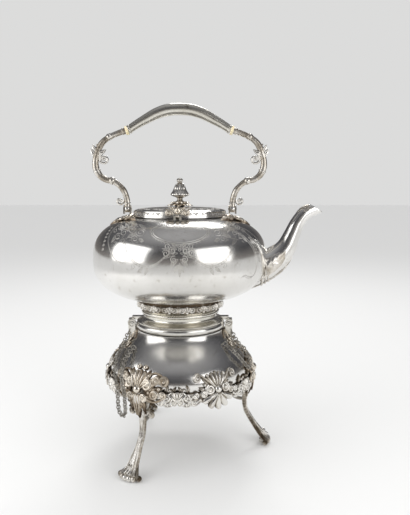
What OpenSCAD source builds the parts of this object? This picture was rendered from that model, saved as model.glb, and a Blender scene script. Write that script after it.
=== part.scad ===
// Spirit kettle on a three-legged stand with a lamp.
// The origin is on the table under the stand's axis, +X is the spout side, -Y is the front.

/* [Kettle body] */
// Largest radius of the kettle body
body_r = 100; // [92:1:108]
// Height of the widest line above the table
body_mid_z = 223.5; // [218:0.5:232]
// Height of the body above its widest line
body_up_h = 52.5; // [48:0.5:58]
// Depth of the body below its widest line
body_low_h = 48; // [44:0.5:52]
// Fullness of the upper curve, where 2 is an ellipse
body_up_n = 2.85; // [2.4:0.05:3.2]
// Fullness of the lower curve
body_low_n = 2.5; // [2.2:0.05:2.8]
// Thickness of the body's plate
body_wall = 1.2; // [0.9:0.1:2]
// Radius of the filling mouth
mouth_r = 47.5; // [42:0.5:49]
// Height of the lip round the mouth
mouth_lip_h = 1.4; // [0.8:0.1:2]

/* [Kettle foot] */
// Radius of the foot where the kettle body sits on it
foot_top_r = 47; // [44:0.5:50]
// Narrowest radius of the foot's neck
foot_neck_r = 41; // [38:0.5:44]
// Radius of the skirt that seats on the stand
skirt_r = 51; // [49:0.5:53]
// Height of the plane where the kettle seats on the stand
seat_z = 152; // [148:0.5:155]
// Thickness of the foot's wall
foot_wall = 2; // [1.4:0.1:3]
// Number of scallops round the foot's border
border_scallops = 16; // [12:2:20]

/* [Spout] */
// Reach of the spout's mouth from where its root starts inside the body
spout_reach = 77.5; // [72:0.5:82]
// Height of the spout's mouth above the body's widest line
spout_rise = 59.3; // [55:0.5:63]
// Half height of the spout's root
spout_root_h = 26; // [24:0.5:28]
// Half width of the spout's root
spout_root_w = 19; // [17:0.5:21]
// Thickness of the spout's wall
spout_wall = 1.2; // [0.8:0.1:1.8]
// Radius of each strainer hole behind the spout
strainer_hole_r = 1.6; // [1:0.1:2.2]

/* [Lid] */
// Outer radius of the lid's engraved band
lid_r = 54; // [50:0.5:55]
// Height of the lid's band
lid_band_h = 7; // [5:0.5:9]
// Rise of the lid's dome above its band
lid_dome_h = 4.5; // [3:0.5:7]
// Thickness of the lid's plate
lid_wall = 1.4; // [1:0.1:2]
// Gap between the lid and the kettle's shoulder
lid_gap = 0.3; // [0.2:0.1:0.6]
// Radius of the lid hinge's pin
lid_pin_r = 1; // [0.8:0.1:1.2]
// Radius of the hinge's knuckles
lid_knuckle_r = 2.3; // [2:0.1:2.8]
// Width of the middle knuckle
lid_knuckle_w = 3; // [2:0.5:5]
// Width of each hinge lug on the kettle
lid_lug_w = 2.4; // [1.6:0.2:3]

/* [Finial] */
// Radius of the flower under the finial
flower_r = 15; // [12:0.5:17]
// Number of petals of the flower
flower_petals = 8; // [6:1:10]
// Radius of the finial's stem
stem_r = 3; // [2.4:0.1:3.6]
// Largest radius of the bud
bud_r = 11; // [9:0.5:12]
// Height of the bud and stem above the flower
bud_h = 27; // [23:0.5:30]

/* [Handle] */
// Distance of each handle pivot from the kettle's axis
handle_pivot_x = 60.7; // [59.5:0.1:63]
// Height of the handle pivots above the shoulder under them
handle_pivot_h = 11; // [9:0.5:13]
// Radius of the handle pins
handle_pin_r = 1.5; // [1.2:0.1:1.8]
// Radius of the knuckles at the ends of the arms
handle_knuckle_r = 4; // [3.4:0.1:4.6]
// Width of those knuckles
handle_knuckle_w = 5; // [4:0.5:6]
// Thickness of the cheeks that hold the knuckles
handle_cheek_t = 1.6; // [1.2:0.1:2]
// Radius of the arms' round section
arm_r = 3.5; // [3:0.1:4]
// Radius of the insulating rings
insulator_r = 5.2; // [4.6:0.1:6]
// Length of the insulating rings
insulator_l = 3.2; // [2.4:0.1:4]
// Largest radius of the hand grip
grip_r = 7; // [6:0.1:8]

/* [Stand] */
// Outer radius of the stand's bead ring
bead_ring_r = 52.3; // [51.5:0.1:53]
// Height of the bead ring
bead_ring_h = 8.5; // [7:0.5:10]
// Largest radius of the stand's belly
belly_r = 82.5; // [78:0.5:86]
// Height of the belly's widest line
belly_z = 97; // [94:0.5:102]
// Height of the belly's lower edge
belly_edge_z = 85; // [82:0.5:88]
// Thickness of the stand's plate
stand_wall = 1.6; // [1.2:0.1:2.2]
// Depth of the waves of the cast apron
apron_wave = 5; // [3:0.5:7]
// Thickness of the cast apron
apron_t = 2.6; // [2:0.1:3.4]

/* [Legs] */
// Length of the shell on each knee
knee_shell_l = 22; // [19:0.5:25]
// Distance of the knee's outer scrolls from its middle
knee_scroll_y = 20; // [18:0.5:22]
// Number of legs, with as many pendants between them
leg_count = 3; // [3:1:3]
// Radius of the circle through the feet
feet_r = 100; // [94:1:106]
// Half width of a leg's shank
shank_half_w = 4.3; // [3.6:0.1:5.2]
// Half thickness of a leg's shank
shank_half_t = 2.7; // [2.2:0.1:3.4]
// Half width of a foot across its toes
foot_half_w = 13; // [11:0.5:15]

/* [Pivot pins] */
// Distance of each kettle pin from the axis
pin_x = 57; // [56.6:0.1:58.5]
// Height of the kettle pins
pin_z = 145.5; // [144:0.5:147]
// Radius of the kettle pins
pin_r = 1.6; // [1.3:0.1:1.9]
// Running clearance round a pin
pin_clear = 0.06; // [0.03:0.01:0.1]
// Radius of the knuckles round the pins
lug_r = 4; // [3.5:0.1:4.2]
// Width of the kettle's lug
lug_w = 8; // [6:0.5:10]
// Side gap between the lug and the ears
lug_gap = 0.4; // [0.3:0.1:0.6]
// Thickness of each ear of the stand
ear_t = 2.4; // [2:0.2:3]
// Middle radius of a pin's pull ring
pull_ring_r = 3.9; // [3.4:0.1:4]
// Radius of the pull ring's wire
pull_wire_r = 0.7; // [0.6:0.1:0.8]

/* [Chains] */
// Gap between the strand of the left chain that hangs over a knee and the apron
chain_gap = 9; // [8.5:0.5:12]
// Middle radius of a chain link
link_r = 2.2; // [1.9:0.1:2.5]
// Radius of a link's wire
link_wire_r = 0.55; // [0.45:0.05:0.65]
// Play between a link and the next one
link_play = 0.3; // [0.2:0.05:0.4]

/* [Lamp] */
// Radius of the spirit lamp's reservoir
lamp_r = 31; // [28:0.5:33]
// Height of the reservoir
lamp_h = 24; // [20:0.5:28]
// Height of the lamp's underside
lamp_z = 68; // [64:0.5:72]
// Radius of the wick tube
wick_tube_r = 5; // [4:0.5:6]
// Height of the wick tube above the collar
wick_tube_h = 12; // [10:0.5:14]
// Gap between the lamp and the ring that carries it
lamp_gap = 0.4; // [0.3:0.1:0.8]
// Radius of the wire of the burner ring and struts
burner_wire_r = 2.2; // [1.8:0.1:2.6]

/* [Hidden] */
$fn = 64;
plate_color = [0.80, 0.80, 0.79];
cast_color = [0.72, 0.68, 0.62];
warm_color = [0.74, 0.60, 0.42];
cream_color = [0.90, 0.85, 0.70];
eps = 0.01;
fine_fn = 96;
// Thin pieces that lie on a round one are cut by a finer one
close_fn = 360;
// Pieces soldered to the body stop this far short of it
seat_gap = 0.03;
bead_fn = 24;

// Smooth curve through stations of any number of columns
function ease4(a, b, c, d, t) = 0.5 * ((2 * b) + (c - a) * t
    + (2 * a - 5 * b + 4 * c - d) * t * t + (3 * b - a - 3 * c + d) * t * t * t);
function smooth_path(p, n) = [for (i = [0:len(p) - 2], k = [0:n - 1])
    ease4(p[max(i - 1, 0)], p[i], p[i + 1], p[min(i + 2, len(p) - 1)], k / n), p[len(p) - 1]];
// Direction of a path in the XZ plane at one of its points
function heading(p, i) = let (a = p[max(i - 1, 0)], b = p[min(i + 1, len(p) - 1)])
    atan2(b[1] - a[1], b[0] - a[0]);
// One oval section of a swept piece
function oval(x, z, ang, h, w, n) = [for (j = [0:n - 1]) let (a = 360 * (j + 0.5) / n)
    [x - h * cos(a) * sin(ang), w * sin(a), z + h * cos(a) * cos(ang)]];
function sections(p, n) = [for (i = [0:len(p) - 1])
    oval(p[i][0], p[i][1], heading(p, i), p[i][2], p[i][3], n)];
// Body through a row of sections, closed by flat ends or joined end to end
module skin(rings, looped = false) {
    n = len(rings[0]);
    m = len(rings);
    last = looped ? m - 1 : m - 2;
    sides = [for (i = [0:last], j = [0:n - 1])
        let (a = i * n, b = ((i + 1) % m) * n, k = (j + 1) % n)
        each [[a + j, b + k, b + j], [a + j, a + k, b + k]]];
    ends = looped ? [] : [[for (j = [n - 1:-1:0]) j], [for (j = [0:n - 1]) (m - 1) * n + j]];
    polyhedron([for (r = rings) each r], concat(sides, ends));
}

// Outline of the kettle body
function curve_r(a, n, t) = a * pow(cos(t), 2 / n);
function curve_z(b, n, t) = b * pow(sin(t), 2 / n);
function upper_z(r, cut = 0) = body_mid_z + (body_up_h - cut)
    * pow(1 - pow(r / (body_r - cut), body_up_n), 1 / body_up_n);
function lower_z(r, cut = 0) = body_mid_z - (body_low_h - cut)
    * pow(1 - pow(r / (body_r - cut), body_low_n), 1 / body_low_n);
function body_curve(rim_r, cut) = let (
    a = body_r - cut,
    top = acos(pow(rim_r / a, body_up_n / 2)),
    low_steps = 18,
    up_steps = 14)
    concat([for (i = [0:low_steps]) let (t = 90 - 90 * i / low_steps)
        [curve_r(a, body_low_n, t), body_mid_z - curve_z(body_low_h - cut, body_low_n, t)]],
        [for (i = [1:up_steps]) let (t = top * i / up_steps)
            [curve_r(a, body_up_n, t), body_mid_z + curve_z(body_up_h - cut, body_up_n, t)]]);
function backwards(p) = [for (i = [len(p) - 1:-1:0]) p[i]];
lip_out_r = mouth_r + body_wall;
lip_z = upper_z(lip_out_r) + mouth_lip_h;

module kettle_outside() {
    curve = body_curve(mouth_r, -seat_gap);
    rotate_extrude($fn = fine_fn) polygon(concat(curve, [[0, upper_z(mouth_r)]]));
}
// Only the flank of the body, for pieces on its side
module kettle_side() {
    curve = [for (p = body_curve(mouth_r, -seat_gap))
        if (abs(p[1] - body_mid_z) < 0.9 * body_low_h) p];
    rotate(180) rotate_extrude($fn = close_fn) polygon(concat([[body_r / 3, curve[0][1]]], curve,
        [[body_r / 3, curve[len(curve) - 1][1]]]));
}

// Strainer holes sit on the line of the spout's root
strainer_z = body_mid_z - 8;
strainer_pitch = 6;

module kettle_body() color(plate_color) difference() {
    rotate_extrude($fn = fine_fn) polygon(concat(body_curve(lip_out_r, 0),
        [[lip_out_r, lip_z], [mouth_r, lip_z]], backwards(body_curve(mouth_r, body_wall))));
    for (row = [-1:1], col = [-1:1])
        translate([body_r - 12, col * strainer_pitch, strainer_z + row * strainer_pitch])
            rotate([0, 90, 0]) cylinder(r = strainer_hole_r, h = 24, $fn = bead_fn);
}

// Heights of the foot's mouldings, from the body down
foot_join_z = lower_z(foot_top_r);
border_low_z = foot_join_z - 10;
astragal_z = border_low_z - 5;
neck_z = seat_z + 6;
foot_outline = [[foot_top_r - foot_wall, foot_join_z + 3], [foot_top_r, foot_join_z + 3],
    [foot_top_r, border_low_z], [foot_top_r - 3, border_low_z - 1.5],
    [foot_top_r - 3.5, astragal_z + 2.5], [foot_top_r - 1.8, astragal_z + 1.4],
    [foot_top_r - 1.2, astragal_z], [foot_top_r - 1.8, astragal_z - 1.4],
    [foot_top_r - 4, astragal_z - 2.4], [foot_neck_r + 0.6, neck_z + 3], [foot_neck_r, neck_z],
    [foot_neck_r + 1.4, neck_z - 2.2], [skirt_r - 5, seat_z + 2.2], [skirt_r - 1.2, seat_z + 1.4],
    [skirt_r, seat_z + 0.7], [skirt_r, seat_z], [skirt_r - foot_wall - 3, seat_z],
    [foot_neck_r - foot_wall + 1.4, neck_z - 2.2], [foot_neck_r - foot_wall, neck_z],
    [foot_neck_r - foot_wall, neck_z + 3], [foot_top_r - foot_wall - 4, border_low_z]];

module kettle_foot() color(plate_color) difference() {
    rotate_extrude($fn = fine_fn) polygon(foot_outline);
    kettle_outside();
}

// Cast border of scallops and leaves round the top of the foot
module foot_border() color(cast_color) difference() {
    union() {
        rotate_extrude($fn = fine_fn) translate([foot_top_r, border_low_z + 1])
            square([2.2, 8]);
        for (i = [0:border_scallops - 1]) rotate(360 * (i + 0.5) / border_scallops) {
            translate([foot_top_r + 2, 0, border_low_z + 6.5]) sphere(r = 4, $fn = bead_fn);
            translate([foot_top_r + 1.2, 0, border_low_z + 1.4]) sphere(r = 2.2, $fn = bead_fn);
        }
        for (i = [0:border_scallops - 1]) rotate(360 * i / border_scallops)
            translate([foot_top_r + 1.2, 0, border_low_z + 3.4]) rotate([0, 90, 0])
                rotate_extrude($fn = bead_fn) translate([2.6, 0]) circle(r = 1.1, $fn = 16);
    }
    kettle_outside();
    translate([0, 0, border_low_z - 6]) cylinder(r = foot_top_r, h = 30, $fn = fine_fn);
}

// Swan-neck spout, as shares of its named sizes: reach, rise, tilt of the section, half sizes
spout_start_x = body_r - 20;
spout_shares = [[0.0, -0.2951, -35, 1.0, 1.0], [0.1548, -0.2024, -5, 0.7885, 0.9211],
    [0.329, -0.0759, 26, 0.6231, 0.7895], [0.4581, 0.059, 42, 0.5385, 0.6579],
    [0.5716, 0.253, 58, 0.4308, 0.5421], [0.649, 0.489, 66, 0.3538, 0.4579],
    [0.7265, 0.7167, 60, 0.3077, 0.4], [0.8387, 0.9022, 47, 0.2923, 0.3579],
    [1.0, 1.0, 58, 0.3308, 0.2947]];
spout_stations = [for (s = spout_shares) [spout_start_x + s[0] * spout_reach,
    body_mid_z + s[1] * spout_rise, s[2], s[3] * spout_root_h, s[4] * spout_root_w]];
spout_sides = 20;
spout_steps = 3;
spout_curve = smooth_path(spout_stations, spout_steps);
function spout_rings(cut) = [for (s = spout_curve)
    oval(s[0], s[1], s[2], s[3] - cut, s[4] - cut, spout_sides)];

module spout() color(plate_color) difference() {
    skin(concat(spout_rings(0), backwards(spout_rings(spout_wall))), true);
    kettle_side();
}

// Moulded collar where the spout springs from the body
collar_start = 4;
collar_gap = 0.2;
module spout_collar() color(cast_color) difference() {
    rows = [for (k = [0:4]) spout_curve[collar_start + k]];
    swell = [for (k = [0:4]) 0.2 + 2.2 * sin(180 * (k + 0.35) / 4.7)];
    skin(concat([for (k = [0:4]) let (s = rows[k])
        oval(s[0], s[1], s[2], s[3] + swell[k], s[4] + swell[k], spout_sides)],
        backwards([for (s = rows)
            oval(s[0], s[1], s[2], s[3] + collar_gap, s[4] + collar_gap, spout_sides)])), true);
    kettle_side();
}

// Lid of revolution with a straight band and a low dome
lid_in_r = lid_r - lid_wall;
lid_low_z = upper_z(lid_in_r - 0.6) + lid_gap;
lid_band_z = lid_low_z + lid_band_h;
lid_top_z = lid_band_z + lid_dome_h;
dome_steps = 8;
function dome(r, z, h, i) = let (t = 90 * i / dome_steps) [r * cos(t), z + h * sin(t)];
module lid() color(plate_color) difference() {
    rotate_extrude($fn = fine_fn) polygon(concat(
        [[lid_in_r - 0.6, lid_low_z], [lid_r, lid_low_z], [lid_r - 0.8, lid_band_z]],
        [for (i = [0:dome_steps]) dome(lid_r - 2, lid_band_z, lid_dome_h, i)],
        [for (i = [dome_steps:-1:0])
            dome(lid_in_r - 2, lid_band_z - lid_wall, lid_dome_h, i)]));
    cylinder(r = thread_r, h = 400, $fn = 24);
}

// Hinge at the front of the lid
hinge_y = -(lid_r + lid_knuckle_r + 0.6);
hinge_z = lid_low_z + lid_knuckle_r + 0.4;
hinge_half_w = lid_knuckle_w / 2 + 0.2 + lid_lug_w;

module lid_outside() {
    rotate_extrude($fn = fine_fn) polygon(concat([[0, lid_low_z], [lid_r, lid_low_z],
        [lid_r - 0.8, lid_band_z]],
        [for (i = [0:dome_steps]) dome(lid_r - 2, lid_band_z, lid_dome_h, i)]));
}

module scroll_ring(r, wire) rotate_extrude($fn = 32) translate([r, 0]) circle(r = wire, $fn = 16);

module lid_hinge_leaf() color(cast_color) difference() {
    union() {
        translate([-lid_knuckle_w / 2, hinge_y, hinge_z]) rotate([0, 90, 0])
            cylinder(r = lid_knuckle_r, h = lid_knuckle_w, $fn = 32);
        translate([-lid_knuckle_w / 2, hinge_y, hinge_z])
            cube([lid_knuckle_w, lid_r + hinge_y + 4 - 2 * (lid_r + hinge_y), lid_knuckle_r]);
        for (side = [-1, 1]) {
            translate([side * 8, -(lid_r - 1.2), lid_band_z - 0.6]) rotate([0, 40 * side, 0])
                rotate([90, 0, 0]) scroll_ring(3, 1.3);
            translate([0, -(lid_r - 0.8), hinge_z + 1.2]) rotate([0, 58 * side, 0])
                cylinder(r1 = 1.5, r2 = 1.2, h = 9, $fn = 24);
        }
    }
    lid_outside();
    translate([-10, hinge_y, hinge_z]) rotate([0, 90, 0])
        cylinder(r = lid_pin_r + pin_clear, h = 20, $fn = 24);
}

module lid_hinge_lugs() color(cast_color) difference() {
    for (side = [-1, 1]) translate([side * (hinge_half_w - lid_lug_w / 2) - lid_lug_w / 2, 0, 0]) {
        translate([0, hinge_y, hinge_z]) rotate([0, 90, 0])
            cylinder(r = lid_knuckle_r, h = lid_lug_w, $fn = 32);
        translate([0, hinge_y - lid_knuckle_r, hinge_z - 9])
            cube([lid_lug_w, 2 * lid_knuckle_r - 0.3, 9]);
    }
    kettle_outside();
    translate([-10, hinge_y, hinge_z]) rotate([0, 90, 0])
        cylinder(r = lid_pin_r, h = 20, $fn = 24);
}

module lid_hinge_pin() color(plate_color)
    translate([-hinge_half_w - 0.5, hinge_y, hinge_z]) rotate([0, 90, 0])
        cylinder(r = lid_pin_r, h = 2 * hinge_half_w + 1, $fn = 24);

// Finial: flower, stem with bud, and the nut inside the lid
flower_low_z = lid_top_z - 0.2;
flower_h = 6;
bud_low_z = flower_low_z + flower_h;
thread_r = 1.6;
module finial_flower() color(cast_color) difference() {
    union() {
        translate([0, 0, flower_low_z]) cylinder(r1 = 5, r2 = 8, h = 3, $fn = 48);
        translate([0, 0, flower_low_z + 2.6])
            cylinder(r1 = flower_r - 3.4, r2 = 4.5, h = flower_h - 2.6, $fn = 48);
        for (i = [0:flower_petals - 1]) rotate(360 * i / flower_petals)
            translate([flower_r - 4, 0, flower_low_z + 2.9]) sphere(r = 2.8, $fn = bead_fn);
        for (i = [0:flower_petals - 1]) rotate(360 * (i + 0.5) / flower_petals)
            translate([flower_r - 2.4, 0, flower_low_z + 2.5]) sphere(r = 2.2, $fn = bead_fn);
    }
    lid_outside();
    cylinder(r = thread_r, h = 400, $fn = 24);
    translate([0, 0, bud_low_z]) cylinder(r = flower_r, h = 5, $fn = 48);
}

bud_outline = [[stem_r + 1.6, 0], [stem_r, 1.4], [stem_r, 4.6], [stem_r + 1.5, 5.6],
    [bud_r - 1.5, 6.4], [bud_r, 8.4], [bud_r - 0.4, 10.6], [bud_r - 3, 13], [bud_r - 4.4, 16],
    [bud_r - 5.4, 19], [bud_r - 6, 21], [bud_r - 7.6, bud_h - 3.6], [2, bud_h - 1.6], [0, bud_h]];
module finial_bud() color(cast_color) union() {
    translate([0, 0, bud_low_z]) {
        rotate_extrude($fn = 48) polygon(concat([[0, 0]], bud_outline));
        for (i = [0:7]) rotate(45 * i) {
            translate([bud_r - 1, 0, 8.6]) sphere(r = 1.9, $fn = bead_fn);
            translate([bud_r - 5.6, 0, 20.5]) sphere(r = 1.3, $fn = bead_fn);
        }
    }
    translate([0, 0, lid_top_z - lid_wall - 4]) cylinder(r = thread_r, h = bud_low_z
        - lid_top_z + lid_wall + 5, $fn = 24);
}

nut_r = 5;
nut_t = 2.4;
nut_z = lid_band_z - lid_wall + lid_dome_h - nut_t - 0.05;
module finial_nut() color(plate_color) difference() {
    translate([0, 0, nut_z]) cylinder(r = nut_r, h = nut_t, $fn = 48);
    translate([0, 0, nut_z - 1]) cylinder(r = thread_r, h = nut_t + 2, $fn = 24);
}

// Mounts, pins and knuckles of the handle
handle_pivot_z = upper_z(handle_pivot_x) + handle_pivot_h;
knuckle_gap = 0.35;
cheek_start = handle_knuckle_w / 2 + knuckle_gap;
module mount_shape() {
    for (side = [0, 1]) mirror([side, 0, 0]) translate([cheek_start, 0, 0]) {
        rotate([0, 90, 0]) cylinder(r = handle_knuckle_r, h = handle_cheek_t, $fn = 32);
        translate([0, -handle_knuckle_r, -handle_pivot_h - 5])
            cube([handle_cheek_t, 2 * handle_knuckle_r, handle_pivot_h + 5]);
    }
    translate([-cheek_start, -handle_knuckle_r - 1.5, -handle_pivot_h - 5])
        cube([2 * cheek_start, 2 * handle_knuckle_r + 3, handle_pivot_h + 5 - handle_knuckle_r - 1]);
}
// A leaf that runs along the shoulder: turn about the axis, distance, half height, half width
leaf_stations = [[2, 0.5, 3.4, 4.4], [9, 1.6, 3.4, 4.8], [16, 3.2, 3, 4.4], [22, 4.6, 2.4, 3.4],
    [28, 5.4, 2.2, 2.6], [34, 5.6, 2.6, 2.8], [38, 5.8, 1.2, 1.4]];
leaf_curve = smooth_path(leaf_stations, 2);
module shoulder_leaf(way) skin([for (s = leaf_curve) let (r = handle_pivot_x + s[1],
    turn = way * s[0], z = upper_z(r)) [for (j = [0:9]) let (a = -way * 36 * (j + 0.5),
    d = r + s[3] * sin(a)) [d * cos(turn), d * sin(turn), z + s[2] * cos(a)]]]);
tongue_stations = [[4, 3, 4], [9, 3.4, 5], [14, 2.8, 4], [18, 2.2, 2.8], [21, 1.4, 1.2]];
tongue_curve = smooth_path(tongue_stations, 2);
module shoulder_tongue() skin([for (s = tongue_curve) let (r = handle_pivot_x + s[0])
    [for (j = [0:9]) let (a = 36 * (j + 0.5))
        [r, s[2] * sin(a), upper_z(r) + s[1] * cos(a)]]]);
module handle_mount(side) color(cast_color) difference() {
    union() {
        translate([side * handle_pivot_x, 0, handle_pivot_z]) mount_shape();
        rotate(side < 0 ? 180 : 0) {
            shoulder_leaf(1);
            shoulder_leaf(-1);
            shoulder_tongue();
        }
    }
    kettle_outside();
    cylinder(r = lid_r + 1.2, h = 400, $fn = fine_fn);
    translate([side * handle_pivot_x - 12, 0, handle_pivot_z]) rotate([0, 90, 0])
        cylinder(r = handle_pin_r, h = 24, $fn = 24);
    translate([side * handle_pivot_x, 0, handle_pivot_z]) rotate([0, 90, 0])
        cylinder(r = handle_knuckle_r + 0.8, h = 2 * cheek_start, center = true, $fn = 32);
}
module handle_mount_left() handle_mount(-1);
module handle_mount_right() handle_mount(1);

pin_half = cheek_start + handle_cheek_t + 0.5;
module handle_pin(side) color(plate_color)
    translate([side * handle_pivot_x - pin_half, 0, handle_pivot_z]) rotate([0, 90, 0])
        cylinder(r = handle_pin_r, h = 2 * pin_half, $fn = 24);
module handle_pin_left() handle_pin(-1);
module handle_pin_right() handle_pin(1);

// Arm of the handle: distance from the axis, height over the pivot, half thickness, half width
arm_stations = [[0, 2.5, arm_r, arm_r], [0.2, 10, arm_r - 0.2, arm_r - 0.4],
    [3.8, 20.6, arm_r, arm_r - 0.2], [10.2, 28, arm_r - 0.2, arm_r - 0.3],
    [17.1, 32, arm_r + 0.4, arm_r + 0.2], [24, 33.2, arm_r, arm_r],
    [31, 38, arm_r + 0.4, arm_r + 0.2], [35.2, 46, arm_r + 0.6, arm_r + 0.4],
    [35.6, 55, arm_r + 0.2, arm_r + 0.2], [33.4, 63, arm_r + 0.2, arm_r + 0.2],
    [30.2, 71, arm_r + 0.3, arm_r], [25.6, 77, arm_r, arm_r], [18.2, 82, arm_r - 0.2, arm_r - 0.2],
    [8.4, 86, arm_r, arm_r], [0.6, 88.4, arm_r + 0.4, arm_r + 0.4]];
arm_sides = 12;
arm_steps = 2;
arm_curve = smooth_path(arm_stations, arm_steps);
arm_end = arm_stations[len(arm_stations) - 1];
arm_end_ang = heading(arm_curve, len(arm_curve) - 1);

module arm_shape() {
    skin(sections(arm_curve, arm_sides));
    rotate([0, 90, 0]) cylinder(r = handle_knuckle_r, h = handle_knuckle_w, center = true, $fn = 32);
    translate([17.1, 0, 32]) sphere(r = arm_r + 1.4, $fn = bead_fn);
    translate([19.6, 0, 81.4]) sphere(r = arm_r + 0.9, $fn = bead_fn);
    translate([25.6, 0, 55.5]) rotate([90, 0, 0]) scroll_ring(3.9, 1.4);
    translate([25.6, 0, 55.5]) sphere(r = 2.9, $fn = bead_fn);
    translate([27.6, 0, 64.5]) rotate([90, 0, 0]) scroll_ring(2.8, 1.5);
    translate([37.4, 0, 64.6]) rotate([0, 55, 0]) cylinder(r1 = 2.4, r2 = 0.7, h = 4, $fn = 24);
    translate([35, 0, 62.8]) sphere(r = 3.6, $fn = bead_fn);
    translate([5.6, 0, 4.6]) rotate([90, 0, 0]) scroll_ring(2.6, 1.3);
}
module handle_arm(side) color(plate_color) difference() {
    translate([side * handle_pivot_x, 0, handle_pivot_z]) mirror([side < 0 ? 1 : 0, 0, 0])
        arm_shape();
    translate([side * handle_pivot_x - 12, 0, handle_pivot_z]) rotate([0, 90, 0])
        cylinder(r = handle_pin_r + pin_clear, h = 24, $fn = 24);
    for (way = [0, 1]) translate([side * handle_pivot_x, 0, handle_pivot_z]) mirror([way, 0, 0])
        translate([cheek_start - 0.15, 0, 0]) rotate([0, 90, 0])
            cylinder(r = handle_knuckle_r + 0.6, h = handle_cheek_t + 0.5, $fn = 48);
}
module handle_arm_left() handle_arm(-1);
module handle_arm_right() handle_arm(1);

// Insulating rings stand square to the ends of the arms
module at_arm_end(side) translate([side * handle_pivot_x, 0, handle_pivot_z])
    mirror([side < 0 ? 1 : 0, 0, 0]) translate([arm_end[0], 0, arm_end[1]])
        rotate([0, 90 - arm_end_ang, 0]) children();
module insulator(side) color(cream_color) at_arm_end(side)
    cylinder(r = insulator_r, h = insulator_l, $fn = 32);
module insulator_left() insulator(-1);
module insulator_right() insulator(1);

// Hand grip: half of it is drawn and mirrored through one list of stations
grip_start = [handle_pivot_x + arm_end[0] + insulator_l * cos(arm_end_ang),
    handle_pivot_z + arm_end[1] + insulator_l * sin(arm_end_ang)];
grip_rise = 23;
grip_half = [[-grip_start[0], grip_start[1], 4.5, 4.5],
    [-grip_start[0] * 0.84, grip_start[1] + grip_rise * 0.26, 4.9, 4.6],
    [-grip_start[0] * 0.65, grip_start[1] + grip_rise * 0.53, 5.6, 5.2],
    [-grip_start[0] * 0.44, grip_start[1] + grip_rise * 0.8, 6.4, 6],
    [-grip_start[0] * 0.23, grip_start[1] + grip_rise * 0.96, grip_r - 0.2, grip_r - 0.4],
    [0, grip_start[1] + grip_rise, grip_r, grip_r - 0.2]];
grip_stations = concat(grip_half, [for (i = [len(grip_half) - 2:-1:0])
    [-grip_half[i][0], grip_half[i][1], grip_half[i][2], grip_half[i][3]]]);
grip_curve = smooth_path(grip_stations, 3);
grip_last = len(grip_curve) - 1;
function grip_heading(i) = i == 0 ? -arm_end_ang + 180
    : (i == grip_last ? arm_end_ang - 180 : heading(grip_curve, i));
module handle_grip() color(plate_color)
    skin([for (i = [0:grip_last]) let (s = grip_curve[i])
        oval(s[0], s[1], grip_heading(i), s[2], s[3], 16)]);

// Lugs under the foot: a bored one at the spout side and an open hook at the other
module lug_arm() {
    rotate([90, 0, 0]) cylinder(r = lug_r, h = lug_w, center = true, $fn = 32);
    translate([-(pin_x - skirt_r) - 6, -lug_w / 2, seat_z - pin_z + 0.3])
        cube([pin_x - skirt_r + 6, lug_w, lug_r * 2 - (seat_z - pin_z) + 2.2]);
    translate([-2, -lug_w / 2, 0]) cube([2 + lug_r, lug_w, lug_r * 2 - 0.4]);
}
module foot_outside() rotate_extrude($fn = fine_fn)
    polygon(concat([[0, seat_z]], [for (i = [15:-1:1]) foot_outline[i]], [[0, foot_join_z + 3]]));
module pivot_lug_right() color(cast_color) difference() {
    translate([pin_x, 0, pin_z]) lug_arm();
    foot_outside();
    translate([pin_x, 0, pin_z]) rotate([90, 0, 0])
        cylinder(r = pin_r + pin_clear, h = 40, center = true, $fn = 32);
}
module hook_lug_left() color(cast_color) difference() {
    translate([-pin_x, 0, pin_z]) mirror([1, 0, 0]) lug_arm();
    foot_outside();
    translate([-pin_x, 0, pin_z]) rotate([90, 0, 0])
        cylinder(r = pin_r + 0.3, h = 40, center = true, $fn = 32);
    translate([-pin_x - pin_r - 0.3, -20, pin_z - 12]) cube([2 * pin_r + 0.6, 40, 12]);
}

// Stand: bead ring over an ogee belly
ring_low_z = seat_z - bead_ring_h;
ring_bead_r = bead_ring_h / 2;
shell_top_r = bead_ring_r - 1;
function belly_at(z) = z >= belly_z
    ? shell_top_r + (belly_r - shell_top_r)
        * (1 - cos(180 * pow((ring_low_z - z) / (ring_low_z - belly_z), 0.85))) / 2
    : belly_r - 1.6 * pow((belly_z - z) / (belly_z - belly_edge_z), 2);
belly_steps = 14;
belly_curve = concat([for (i = [0:belly_steps])
    let (z = ring_low_z + (belly_z - ring_low_z) * i / belly_steps) [belly_at(z), z]],
    [for (i = [1:3]) let (z = belly_z + (belly_edge_z - belly_z) * i / 3) [belly_at(z), z]]);
module stand_shell() color(plate_color) rotate_extrude($fn = fine_fn)
    polygon(concat(belly_curve, backwards([for (p = belly_curve)
        [p[0] - stand_wall * (p[1] > belly_z + 6 ? 1.5 : 1), p[1]]])));
module stand_outside() rotate_extrude($fn = fine_fn)
    polygon(concat([[0, ring_low_z]], belly_curve, [[0, belly_edge_z]]));

module bead_ring() color(plate_color) rotate_extrude($fn = fine_fn)
    translate([bead_ring_r - ring_bead_r, ring_low_z + ring_bead_r]) {
        intersection() {
            circle(r = ring_bead_r + 0.001, $fn = 48);
            translate([0, -ring_bead_r]) square([ring_bead_r + 1, 2 * ring_bead_r]);
        }
        translate([-2.4, -ring_bead_r]) square([2.4 + eps, 2 * ring_bead_r]);
    }

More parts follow.
